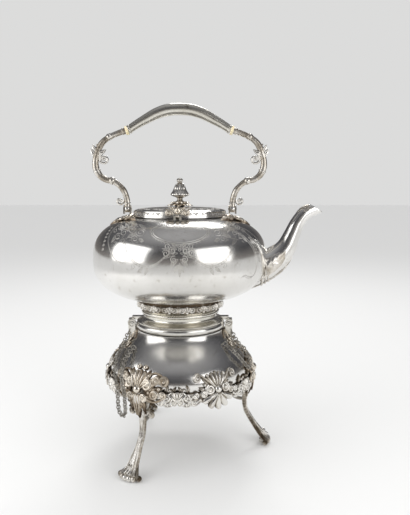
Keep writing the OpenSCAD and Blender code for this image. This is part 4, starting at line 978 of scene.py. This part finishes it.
def makeArm(side, name, node):
    line = smoothRows(armRows, 8)
    coarse = line[::3]
    last = len(line) - 1
    bm = bmesh.new()

    def place(x, z, y):
        return Vector((side * (pivot[0] + x), y, pivot[1] + z))

    rings = []
    for i, (x, z, thick, wide) in enumerate(line):
        t = headingAt(line, i)
        ring = []
        for j in range(20):
            a = 2 * pi * j / 20
            hollow = 1 - 0.03 * (1 + cos(4 * a)) / 2
            c, s = thick * 0.96 * hollow * cos(a), wide * 0.96 * hollow * sin(a)
            ring.append(place(x - t.y * c, z + t.x * c, s))
        rings.append(ring)
    addRings(bm, rings)

    def onArm(f, a, lift):
        row = rowAt(line, f)
        t = headingAt(line, int(round(f * last)))
        c, s = (row[2] * 0.9 + lift) * cos(a), (row[3] * 0.9 + lift) * sin(a)
        return place(row[0] - t.y * c, row[1] + t.x * c, s)

    # leaf wraps along the bar, four abreast, pointing up the handle
    for start, span, rise in ((0.05, 0.12, 0.55), (0.30, 0.1, 0.5), (0.86, -0.16, 0.5)):
        for a0 in roundTurn(4):
            addLeaf(bm, lambda x, y, d: onArm(start + y, a0 + x, d - 0.2), (0, 0), (0, span), 0.684, rise,
                    1, 0.35, 8, 14)
    # collars where the wraps begin
    for f, size in ((0.045, 1.0), (0.295, 1.0), (0.475, 1.1), (0.865, 1.0), (0.965, 0.9)):
        path = [onArm(f, a, 0) for a in roundTurn(24)]
        centre = sum(path, Vector()) / 24
        along = (onArm(min(f + 0.02, 1), 0, 0) - onArm(max(f - 0.02, 0), 0, 0)).normalized()
        addRings(bm, [beadSection(q, (q - centre).normalized(), along, size * 0.8, size) for q in path],
                 True)
    # open curls in the plane of the handle, and balls on the bar
    for cx, cz, size, turns, start, way, wire in ((25.6, 56.5, 5.6, 1.35, 0.9, -1, 1.6),
            (8.6, 9.0, 4.4, 1.25, 2.9, 1, 1.4)):
        for y in (-1.0, 1.0):
            addWire(bm, place, spiralRow(cx, cz, size, turns, start, way, 0.16, 14), y, wire, 0.45)
        addBead(bm, place(cx, cz, 0), wire * 0.95, 12)
    for x, z, r in ((17.1, 32, 4.5), (19.6, 81.4, 4.0)):
        addBead(bm, place(x, z, 0), r, 16)
    # leaf that springs from the bar over the volute, and its twin on the outer side
    for tip, root, half in (((23.5, 67.5), (33.5, 60.5), 2.6), ((40.6, 68.5), (34.5, 58.5), 2.6),
                            ((28.4, 73.6), (32.6, 64.5), 2.2), ((38.6, 73.0), (33.2, 63.5), 2.2)):
        for y in (-2.0, 2.0):
            addLeaf(bm, lambda a, b, d, y=y: place(a, b, y + (d if y > 0 else -d)), root, tip, half, 1.6, 3,
                    0.4, 8, 12)
    # pointed ear and two thorns
    addWire(bm, place, ((35.6, 62.4), (37.0, 64.0), (38.4, 65.2), (39.8, 66.0)), 0, 2.5, 0.75, 10)
    for x, z in ((37.8, 49), (33.6, 72)):
        addWire(bm, place, ((x - 2.4, z - 1.4), (x - 0.4, z), (x + 0.8, z + 1.8)), 0, 1.6, 0.6)
    # knuckle on the pin
    knuckle = [(1.72, -2.45), (3.6, -2.45), (3.95, -2.1), (3.95, 2.1), (3.6, 2.45), (1.72, 2.45)]
    addEye(bm, (side * pivot[0], 0, pivot[1]), knuckle, 40)

    def relief(p):
        # how far from the bar's axis, against its thickness there
        x, z = p.x * side - pivot[0], p.z - pivot[1]
        gap, k = min(((x - row[0]) ** 2 + (z - row[1]) ** 2, k) for k, row in enumerate(coarse))
        return 0.1 + 0.5625 * (gap + p.y ** 2) / (coarse[k][2] + 0.6) ** 2

    finishPiece(name, bm, "handle", cast, (node,), 50, relief)


makeArm(-1, "armLeft", "handle_arm_left")
makeArm(1, "armRight", "handle_arm_right")

gripHalf = [(58.2258, 371.446, 4.5, 4.5), (48.9, 377.43, 4.9, 4.6), (37.85, 383.64, 5.6, 5.2),
            (25.6, 389.85, 6.4, 6), (13.4, 393.53, 6.8, 6.6), (0, 394.446, 6.75, 6.8)]


def makeGrip():
    line = smoothRows(gripHalf + [(-x, z, h, w) for x, z, h, w in gripHalf[-2::-1]], 8)
    bm = bmesh.new()
    rings = []
    for i, (x, z, high, wide) in enumerate(line):
        t = headingAt(line, i)
        ring = []
        for a in roundTurn(28):
            c = high * cos(a)
            ring.append(Vector((x - t.y * c, wide * sin(a), z + t.x * c)))
        rings.append(ring)
    addRings(bm, rings)
    # turned ends
    for end in (0, -1):
        x, z, high, wide = line[end]
        a, b = line[end], line[1 if end == 0 else -2]
        t = Vector((b[0] - a[0], 0, b[1] - a[1])).normalized()
        for d, r, size in ((0.9, high + 0.1, 0.8), (2.6, high + 0.05, 0.55)):
            centre = Vector((x, 0, z)) + t * d
            up = Vector((-t.z, 0, t.x))
            ring = []
            for g in roundTurn(40):
                out = up * cos(g) + Vector((0, 1, 0)) * sin(g)
                ring.append(beadSection(centre + out * r, out, t, size, size))
            addRings(bm, ring, True)
    return finishPiece("gripBow", bm, "handle", worn, ("handle_grip",), 50)


makeGrip()
print("kettle: handle done")


# ---- stand ----
standSizes = {"top": 143.5, "low": 85, "waist": 97, "belly": 82.5, "neck": 51.3, "wall": 1.75,
              "throat": 45.75}
ringSizes = {"radius": 48.05, "midZ": 147.75, "wire": 4.25, "inner": 45.65, "top": 152}
shoulderTop = 143.4


def bellyAt(z):
    t = standSizes
    if z < t["waist"]:
        return t["belly"] - 1.6 * ((t["waist"] - z) / 12) ** 2
    fall = ((t["top"] - z) / (t["top"] - t["waist"])) ** 0.85
    return t["neck"] + (t["belly"] - t["neck"]) * (1 - cos(pi * fall)) / 2


def makeShell():
    t = standSizes
    steps = 72
    heights = [t["top"] - (t["top"] - t["low"]) * i / steps for i in range(steps + 1)]
    outer = [(bellyAt(z), z) for z in heights]
    inner = [(max(r - t["wall"], t["throat"] + 0.05), z) for r, z in outer][::-1]
    inner[-1] = (t["throat"], t["top"])
    bm = bmesh.new()
    spinProfile(bm, outer + inner, 192)
    finishPiece("standBelly", bm, "stand", plate, ("stand_shell",), 32)
    g = ringSizes
    bead = [(g["radius"] + g["wire"] * sin(a), g["midZ"] - g["wire"] * cos(a))
            for a in [pi * k / 28 for k in range(29)]]
    bm = bmesh.new()
    spinProfile(bm, bead + [(g["inner"], g["top"]), (g["inner"], t["top"])], 160)
    finishPiece("standRing", bm, "stand", plate, ("bead_ring",), 40)


makeShell()


def onBelly(a, z, d, turn=0.0):
    # a runs round the stand in mm at the belly's widest, z is a height
    return polar(bellyAt(min(max(z, 85), shoulderTop)) + d, turn + a / 84, z)


def onApron(a, z, d, turn=0.0, base=84.6):
    return polar(base + d, turn + a / 86, z)


def onStand(a, z, d, turn=0.0):
    # follows the belly above and the apron below
    share = min(max((z - 92) / 8, 0), 1)
    base = 85.0 + (bellyAt(min(max(z, 92), shoulderTop)) - 85.0) * share * share * (3 - 2 * share)
    return polar(base + d, turn + a / 84, z)


def addCurl(bm, place, x, y, size, turns, start, way, wire, lift, ball=1.1, tighten=0.2, share=0.35, up=0.3,
            sides=10):
    addWire(bm, place, spiralRow(x, y, size, turns, start, way, tighten), lift, wire, share)
    addBead(bm, place(x, y, lift + up), wire * ball, sides)


def addBar(bm, place, points, wire, lift, share=0.45, steps=5):
    addWire(bm, place, smoothRows(points, steps), lift, wire, share)


def addOrnament(bm, at, parts):
    # draws one table of leaves, curls, bars and beads
    for leaf in parts.get("leaves", ()):
        addLeaf(bm, at, *leaf)
    for curl in parts.get("curls", ()):
        addCurl(bm, at, *curl)
    for bar in parts.get("bars", ()):
        addBar(bm, at, *bar)
    for x, y, lift, radius, sides in parts.get("beads", ()):
        addBead(bm, at(x, y, lift), radius, sides)


def apronLow(angle):
    return 83 - 5 * (0.5 + 0.5 * cos(6 * angle)) - 1.6 * cos(12 * angle)


def apronCurl(x, y, size, turns, start, way, wire):
    return (x, y, size, turns, start, way, wire, 0.9, 0.95, 0.18, 0.4, 0.2, 8)


apronParts = {
    "curls": (apronCurl(34, 88.2, 4.2, 1.5, pi, 1, 1.35), apronCurl(40.6, 83.6, 3.2, 1.4, -1.6, 1, 1.15),
              apronCurl(27, 82.2, 2.8, 1.4, 1.2, -1, 1.15), apronCurl(33.6, 80.4, 2.4, 1.3, 2.6, 1, 1.0),
              apronCurl(24.4, 89.4, 2.8, 1.3, 0.6, 1, 1.1)),
    "bars": (([(20, 86), (24, 83.4), (28, 82.6), (31, 84.4), (32, 88)], 1.3, 0.8, 0.4),
             ([(30, 80.4), (34, 78.6), (38.4, 79.2), (41, 81.4), (44, 81.8)], 1.15, 0.8, 0.4),
             ([(21, 82.0), (24.4, 79.8), (28, 79.2), (30.6, 80.8)], 1.1, 0.8, 0.4),
             ([(36, 91), (39, 93.6), (42, 93.0)], 0.9, 0.8, 0.4)),
    "leaves": (((23, 87), (31, 90.6), 2.2, 2.0, 3, 0.5), ((38, 85), (43, 90.6), 2.0, 1.8, 3, 0.5),
               ((32, 82), (38, 80.2), 1.7, 1.5, 3, 0.5), ((27, 84), (30, 78.6), 1.7, 1.5, 3, 0.5)),
}
apronCrest = {
    "leaves": (((32, 92.5), (34, 101.5), 2.2, 2.6, 3, 0.5), ((39, 92.5), (43, 99.5), 1.9, 2.4, 2, 0.5)),
    "beads": ((37, 95.4, 1.0, 1.8, 12),),
}


def makeApron():
    bm = bmesh.new()
    steps = 288
    rings = []
    for k in range(steps):
        a = 2 * pi * k / steps
        low = apronLow(a)
        dip = 0.35 * cos(24 * a)
        outline = [(82.45, 92.2), (83.6, 92.2), (84.6, 91.4), (85.0, 90.2), (84.5, 89.2), (83.9, 88.4),
                   (83.9 + dip * 0.5, 0.5 * (88.4 + low + 3)),
                   (84.0, low + 3.4), (84.8, low + 2.6), (85.0, low + 1.5), (84.6, low + 0.4), (83.6, low),
                   (82.6, low + 0.3), (81.8, low + 1.4), (80.9, low + 3), (80.6, 85.2), (82.0, 86)]
        rings.append([Vector((r * cos(a), r * sin(a), z)) for r, z in outline])
    addRings(bm, rings, True)
    # S scrolls and small leaves all along the band, mirrored about each leg
    for part in range(6):
        turn = part * pi / 3
        for at in bothSides(lambda x, z, d: onApron(x, z, d, turn)):
            addOrnament(bm, at, apronParts)
        for over in bothSides(lambda x, z, d: onBelly(x, z, d, turn)):
            addOrnament(bm, over, apronCrest)
    base = 84
    finishPiece("apronBand", bm, "stand", cast, ("apron",), 50,
                lambda p: (hypot(p.x, p.y) - base) / 2.2 + 0.1)


makeApron()
print("kettle: stand shell done")

# ---- legs ----
legRows = [(81.1, 96, 3.4, 9), (82.9, 86, 5, 9.6), (80.1, 74, 4.2, 7), (76.5, 62, 3.2, 5),
           (75.9, 52, 2.7, 4.3), (77.9, 40, 2.7, 4.3), (84.4, 28, 2.8, 4.7),
           (91, 18, 3.2, 6.3), (98, 8.6, 3.9, 8), (104, 4.4, 4, 10.4)]
bracketRows = [(17.3, 86), (13.3, 80), (10.9, 73), (8.9, 67), (3.9, 62.6)]


toeSizes = {"count": 6, "pitch": 4.7, "reach": 105.8, "ball": 3.4}


def makeLeg(index):
    turn = 2 * pi * index / 3
    line = smoothRows(legRows, 7)
    last = len(line) - 1
    bm = bmesh.new()

    def world(r, y, z):
        return Vector((r * cos(turn) - y * sin(turn), r * sin(turn) + y * cos(turn), z))

    def onLeg(f, a, lift):
        # a is 0 on the outer face and half a turn behind it
        row = rowAt(line, f)
        t = headingAt(line, int(round(f * last)))
        outward = Vector((-t.y, t.x))
        c, s = (row[2] + lift) * cos(a), (row[3] * 0.98 + lift) * sin(a)
        return world(row[0] + outward.x * c, s, max(row[1] + outward.y * c, 0.5))

    rings = []
    for f in [i / last for i in range(last + 1)]:
        fan = 0.5 + max(0, (f - 0.55) / 0.45)
        rings.append([onLeg(f, a, 0.35 * cos(10 * a) * max(0, cos(a)) * fan - 0.35) for a in roundTurn(36)])
    addRings(bm, rings)
    # one long leaf, down from the knee
    addLeaf(bm, lambda x, y, d: onLeg(y, x, d), (0, 0.1), (0, 0.5), 0.85, 1.5, 6, 0.3, 14, 26)

    def addReed(start, span, steps, lift, spot, radii):
        shares = [start + span * k / steps for k in range(steps + 1)]
        addTube(bm, [onLeg(f, spot(f), lift) for f in shares], radii, 8)

    # reeds that open from the shank into the toes
    for s in (-1, 1):
        addReed(0.1, 0.5, 24, 0.1, lambda f: s * (1.1 - f), lambda f: 0.9 - 0.3 * f)
        addReed(0.58, 0.4, 20, 0.2, lambda f: s * (0.3 + 0.65 * max(0, f - 0.6) / 0.36),
                lambda f: 0.6 + 0.7 * f)
        addReed(0.54, 0.44, 20, 0.3, lambda f: s * (0.08 + 0.28 * max(0, f - 0.6) / 0.36),
                lambda f: 0.6 + 0.6 * f)
    addReed(0.5, 0.47, 20, 0.3, lambda f: 0, lambda f: 0.7 + 0.8 * f)
    # brackets that carry the apron
    for s in (-1, 1):
        at = lambda y, z, x: world(x, s * y, z)
        addWire(bm, at, smoothRows(bracketRows, 6), 78.3, 1.75, 0.2, 10)
        addWire(bm, at, spiralRow(12.7, 65.6, 3.4, 1.5, -2.6, 1, 0.2), 78.3, 1.35)
        addWire(bm, at, spiralRow(15.8, 76.6, 2.6, 1.3, 3.4, -1, 0.2), 78.6, 1.1)
        addWire(bm, at, ((9.4, 69), (11.5, 70.6), (13.9, 70.9), (15.4, 69.9)), 78.3, 1.3, 0.5)
        addBead(bm, at(12.7, 65.6, 78.3), 1.7, 12)
        addBead(bm, at(15.4, 69.9, 78.3), 1.35, 10)
    # foot: rounded toes that fan out, over a small curl
    for k in range(toeSizes["count"]):
        step = k - (toeSizes["count"] - 1) / 2
        y = step * toeSizes["pitch"]
        outer = toeSizes["reach"] - 0.035 * y * y
        rows = [(93.5, 0.42, 13.2), (98.5, 0.66, 8.0), (102.4, 0.86, 5.4), (outer, 1, 3.5)]
        addTube(bm, [world(x, y * share, z) for x, share, z in rows], lambda f: 1.3 + 1.5 * f, 12)
        addBead(bm, world(outer - 0.2, y, 3.5), toeSizes["ball"] - 0.07 * abs(step), 14)
    for y in (-1.3, 1.3):
        addWire(bm, lambda x, z, d: world(x, d, z), spiralRow(99.6, 11.4, 3.4, 1.3, 0.9, 1, 0.2), y, 1.4,
                0.3)
    addRings(bm, [[world(100 + r * cos(a), r * sin(a), z) for a in roundTurn(32)]
                  for r, z in ((4.7, 0), (5, 0.3), (5, 3.2))])

    def relief(p):
        gap = min(hypot(hypot(p.x, p.y) - row[0], p.z - row[1]) for row in line[::2])
        return 0.2 + 0.16 * gap - 0.02 * abs(-p.x * sin(turn) + p.y * cos(turn))

    finishPiece("leg" + str(index + 1), bm, "stand", cast, ("leg_" + str(index + 1),), 50,
                relief)


for index in range(3):
    makeLeg(index)
print("kettle: legs done")


# ---- knees, pendants and small shells of the apron ----
kneeParts = {
    "beads": ((4.6, 115.0, 1.2, 2.9, 14), (12.6, 108.5, 1.6, 1.9, 12), (24.8, 96.4, 1.2, 2.0, 12),
              (14.0, 92.6, 2.2, 1.8, 12)),
    "leaves": (((6, 98), (12.5, 113.5), 4.4, 3.2, 4, 1.2, 12, 18),
               ((11, 96), (25.5, 110.5), 4.6, 3.2, 4, 0.6, 12, 18),
               ((9, 91), (28.5, 97.5), 4.4, 2.9, 4, 0.4, 12, 18),
               ((6, 88), (20.5, 83.5), 3.6, 3.2, 4, 0.8, 10, 14),
               ((3, 86), (10.5, 74.5), 3.0, 3.0, 3, -0.4, 10, 14)),
    "curls": ((10.8, 99.5, 5.2, 1.7, 1.9, -1, 1.8, 2.3), (20.5, 104.0, 4.4, 1.5, -0.6, 1, 1.6, 1.8),
              (29.5, 103.5, 4.8, 1.6, 2.6, -1, 1.7, 1.4), (19.8, 89.8, 4.6, 1.6, 0.2, 1, 1.7, 1.8),
              (7.6, 86.4, 4.0, 1.5, -1.57, 1, 1.7, 2.8), (28.8, 90.0, 3.6, 1.4, 2.4, -1, 1.4, 2.0)),
    "bars": (([(3, 97), (9, 106), (17, 111), (25, 110), (30, 106)], 1.5, 1.3),
             ([(4, 90), (12, 84), (20, 82.6), (27, 85.5), (31, 90)], 1.5, 1.2)),
}
kneeShell = {"base": (0, 93), "size": 19.5, "ribs": 7, "spread": 128, "rise": 4.4}


def standRelief(depth):
    # how far a point stands out of the belly or the apron
    return lambda p: (hypot(p.x, p.y) - hypot(*onStand(0, p.z, 0)[:2])) / depth


def makeKnee(index):
    turn = 2 * pi * index / 3
    place = lambda x, z, d: onStand(x, z, d, turn)
    bm = bmesh.new()
    # ribbed shell, boss and two upper balls
    addShell(bm, place, **kneeShell)
    addBead(bm, place(0, 94, 1.2), 4.9, 18)
    for at in bothSides(place):
        addOrnament(bm, at, kneeParts)
    # leaf that hangs from the knee over the shank
    hang = lambda x, z, d: onStand(x, z, d - 0.0085 * max(0, 92 - z) ** 1.75, turn)
    addLeaf(bm, hang, (0, 90), (0, 60), 6.2, 3.2, 6, 0, 12, 26)
    for s in (-1, 0, 1):
        addBar(bm, hang, [(s * 2.4, 89), (s * 3.2, 82), (s * 2.8, 74), (s * 1.2, 65)], 1.0, 3.0)
    for at in bothSides(hang):
        addLeaf(bm, at, (5, 84), (9, 66), 2.4, 2.6, 4, 0, 8, 16)
    finishPiece("knee" + str(index + 1), bm, "stand", warmCast, ("knee_" + str(index + 1),),
                50,
                standRelief(4.6))


pendantParts = {
    "beads": ((10.4, 108.2, 1.2, 2.0, 12), (14.4, 99.6, 1.4, 1.7, 12)),
    "leaves": (((7, 98), (19, 110), 2.8, 2.4, 3, 0.3, 10, 14),
               ((10, 92), (21, 97), 2.6, 2.8, 3, 0.8, 10, 14)),
    "curls": ((9, 95, 4.8, 1.7, 1.2, -1, 1.6, 1.8), (22, 106.5, 4.2, 1.6, 2.6, -1, 1.5, 1.3),
              (16.4, 90.5, 3.4, 1.5, 0.4, 1, 1.4, 1.8)),
    "bars": (([(3, 97), (9, 102.5), (16, 107.8), (22, 110.4), (26, 108)], 1.4, 1.3),),
}


def makePendant(index):
    turn = pi / 3 + 2 * pi * index / 3
    place = lambda x, z, d: onStand(x, z, d, turn)
    bm = bmesh.new()
    # palmette that hangs, and a smaller fan that stands over it
    addShell(bm, lambda x, z, d: place(x, 184 - z, d), (0, 91.5), 19.0, 5, 142, 4.4, notch=0.34)
    for tilt in (-56, -28, 0, 28, 56):
        a = radians(tilt)
        addBar(bm, place, [(r * sin(a), 92 - r * cos(a)) for r in (3, 10, 15.5)], 0.8, 3.9)
    addShell(bm, place, (0, 94), 17.0, 5, 96, 3.2)
    for at in bothSides(place):
        addOrnament(bm, at, pendantParts)
    addBead(bm, place(0, 94, 1.2), 4.2, 18)
    finishPiece("pendant" + str(index + 1), bm, "stand", cast,
                ("pendant_" + str(index + 1),), 50,
                standRelief(4.0))


for index in range(3):
    makeKnee(index)
    makePendant(index)


def makeApronShells():
    bm = bmesh.new()
    for degrees in (30, -30, 150, 90, 270, 210):
        place = lambda x, z, d, t=radians(degrees): onApron(x, z, d, t, 84.7)
        addShell(bm, place, (0, 84.8), 9.6, 5, 150, 3.0)
        addBead(bm, place(0, 85.2, 1.0), 2.2, 12)
        for s in (-1, 1):
            addWire(bm, place, spiralRow(s * 2.6, 81.8, 2.4, 1.3, pi / 2, -s, 0.2), 0.8, 1.0, 0.3)
    finishPiece("apronShells", bm, "stand", cast, ("apron_shells",), 50,
                lambda p: (hypot(p.x, p.y) - 84.4) / 3.0)


makeApronShells()


sprayParts = {
    "leaves": (((7, 141), (17, 124), 3.6, 2.6, 4, 0.6, 10, 16),
               ((11, 142), (25, 135), 3.0, 2.4, 3, 0.6, 10, 14)),
    "curls": ((12.5, 132.5, 3.8, 1.6, 1.2, -1, 1.3, 1.6), (20.5, 128.5, 3.0, 1.4, 2.6, 1, 1.1, 1.2)),
    "bars": (([(8, 138), (10, 130), (15, 124.5), (21, 124.4)], 1.1, 1.2),),
    "beads": ((5, 117.5, 0.9, 1.9, 12), (9.5, 121.5, 0.9, 1.7, 12)),
}
sprayDrop = {
    "leaves": (((0, 126), (0, 112), 3.4, 2.6, 3, 0.4, 10, 14),),
    "beads": ((0, 123, 0.9, 2.6, 12), (0, 113.5, 0.9, 1.9, 12)),
}


def makeEarSprays():
    # leaves and berries that run down the belly from the ears of the two pins
    bm = bmesh.new()
    for turn in (0, pi):
        place = lambda x, z, d: polar(bellyAt(min(z, shoulderTop)) + d, turn + x / 60, z)
        for at in bothSides(place):
            addOrnament(bm, at, sprayParts)
        addOrnament(bm, place, sprayDrop)
    finishPiece("earSprays", bm, "stand", warmCast, (), 50,
                lambda p: (hypot(p.x, p.y) - bellyAt(min(p.z, shoulderTop))) / 2.6)


makeEarSprays()
print("kettle: cast ornaments done")


# ---- handle mounts ----
mountLeaves = (((3, -0.5), (24, -1.5), 4.6, 4.4, 4, 0.4, 12, 22),
               ((18, -1.2), (42, -0.5), 3.4, 3.2, 4, 0.3, 10, 20),
               ((3, 2), (15, 12), 3.8, 3.4, 3, 0.4, 10, 16))
cheek = {"low": 2.85, "high": 4.45, "round": 4, "foot": -5.6}


def makeMount(side, name, node):
    bm = bmesh.new()

    def place(x, y, d):
        # x runs round the shoulder, y outwards from the pivot
        r = pivot[0] + y
        return polar(r, (0 if side > 0 else pi) + x / 62, upperZ(min(r, 99)) + 0.2 + d)

    # central tongue that runs outwards and wings along the shoulder
    addLeaf(bm, place, (0, -3), (0, 20.5), 6.4, 4.2, 4, 0.4, 14, 22)
    for at in bothSides(place):
        addOrnament(bm, at, {"leaves": mountLeaves})
        addWire(bm, at, spiralRow(13.5, 5.6, 4.6, 1.5, -pi / 2, 1, 0.18), 2.2, 1.6, 0.35, 10)
        addBead(bm, at(13.5, 5.6, 2.6), 1.9, 12)
        addWire(bm, at, spiralRow(27, 2.4, 3.4, 1.3, -pi / 2, 1, 0.2), 1.6, 1.25)
    # cheeks on both sides of the bar, on a small block
    c = cheek
    arch = [(c["round"] * cos(a), c["round"] * sin(a)) for a in [pi - pi * k / 18 for k in range(19)]]
    outline = [(-4.4, c["foot"]), (-3.95, 0)] + arch + [(3.95, 0), (4.4, c["foot"])]
    for s in (-1, 1):
        addRings(bm, [[Vector((side * pivot[0] + x, y, pivot[1] + z)) for y, z in outline]
                      for x in (s * c["low"], s * c["high"])])
    centre = upperZ(pivot[0])
    corners = ((-5, -5), (5, -5), (5, 5), (-5, 5))
    addRings(bm, [[Vector((side * pivot[0] + x, y, z)) for x, y in corners]
                  for z in (centre - 1.5, centre + 1.2)])
    finishPiece(name, bm, "kettle", warmCast, (node,), 50,
                lambda p: 0.15 + (p.z - upperZ(min(hypot(p.x, p.y), 99))) / 5.5)


makeMount(-1, "mountLeft", "handle_mount_left")
makeMount(1, "mountRight", "handle_mount_right")


# ---- kept pieces take their finish ----
keptFinish = {"insulator": cream, "wick": cotton, "wick_tube": brass, "lamp_collar": brass,
              "lamp_reservoir": burnerFinish,
              "burner": burnerFinish, "snuffer": burnerFinish, "chain": chainFinish}
for name, obj in nodes.items():
    chosen = keptFinish.get(name, keptFinish.get(name.split("_")[0], worn))
    obj.data.materials.clear()
    obj.data.materials.append(chosen)
print("kettle: finishes placed")


# ---- floor, light and camera ----
def plainFinish(name, colour, rough):
    material, _, shader = newMaterial(name)
    shader.inputs["Base Color"].default_value = (*colour, 1)
    shader.inputs["Roughness"].default_value = rough
    return material


def makeFloor():
    bm = bmesh.new()
    corners = [bm.verts.new((x, y, 0)) for x, y in ((-9, -3), (9, -3), (9, 15), (-9, 15))]
    bm.faces.new(corners)
    mesh = bpy.data.meshes.new("floor")
    bm.to_mesh(mesh)
    bm.free()
    floor = bpy.data.objects.new("floor", mesh)
    bpy.context.scene.collection.objects.link(floor)
    mesh.materials.append(plainFinish("floorPaper", (0.745, 0.745, 0.74), 0.8))
    return floor


def makeLamp(name, place, aim, size, power, colour=(1, 1, 1)):
    light = bpy.data.lights.new(name, "AREA")
    light.shape = "RECTANGLE"
    light.size, light.size_y = size
    light.energy = power
    light.color = colour
    obj = bpy.data.objects.new(name, light)
    obj.location = place
    obj.rotation_euler = (Vector(aim) - Vector(place)).to_track_quat("-Z", "Y").to_euler()
    bpy.context.scene.collection.objects.link(obj)
    return obj


def makeWorld():
    world = bpy.data.worlds.new("paleRoom")
    bpy.context.scene.world = world
    world.use_nodes = True
    tree = world.node_tree
    tree.nodes.clear()
    out = tree.nodes.new("ShaderNodeOutputWorld")
    back = tree.nodes.new("ShaderNodeBackground")
    coords = tree.nodes.new("ShaderNodeTexCoord")
    split = tree.nodes.new("ShaderNodeSeparateXYZ")
    tree.links.new(coords.outputs["Generated"], split.inputs["Vector"])
    # the plate mirrors a dim room, the camera and the floor see a pale one
    dim = rampNode(tree, rangeNode(tree, split.outputs["Z"], -1, 1, 0, 1),
                   [(0.45, (0.24, 0.22, 0.20)), (0.53, (0.17, 0.16, 0.155)), (0.66, (0.055, 0.055, 0.06)),
                    (0.84, (0.13, 0.13, 0.14)), (1.0, (0.42, 0.42, 0.43))])
    path = tree.nodes.new("ShaderNodeLightPath")
    mirrored = mixNode(tree, path.outputs["Is Glossy Ray"], (0.95, 0.95, 0.95), dim)
    shade = mixNode(tree, path.outputs["Is Camera Ray"], mirrored, (0.715, 0.715, 0.71))
    tree.links.new(shade, back.inputs["Color"])
    back.inputs["Strength"].default_value = 1
    tree.links.new(back.outputs["Background"], out.inputs["Surface"])


cameraSizes = {"lens": 36.84, "sensor": 36, "place": (0.029, -0.6125, 0.298), "pitch": -6.76}


def makeCamera():
    data = bpy.data.cameras.new("photoView")
    data.sensor_fit = "VERTICAL"
    data.sensor_height = cameraSizes["sensor"]
    data.lens = cameraSizes["lens"]
    camera = bpy.data.objects.new("photoView", data)
    camera.location = cameraSizes["place"]
    camera.rotation_euler = (radians(90 + cameraSizes["pitch"]), 0, 0)
    bpy.context.scene.collection.objects.link(camera)
    bpy.context.scene.camera = camera


makeWorld()
lamps = [makeLamp("windowLeft", (-0.80, -0.37, 0.50), (0, 0, 0.23), (0.85, 0.62), 3.6),
         makeLamp("windowRight", (0.68, -0.66, 0.50), (0, 0, 0.23), (0.80, 0.60), 3.2),
         makeLamp("softTop", (0.12, 1.05, 1.3), (0, 0, 0.2), (0.6, 0.3), 6)]
makeFloor()
makeCamera()
bpy.context.scene.view_settings.view_transform = "Standard"
print("kettle: scene ready")
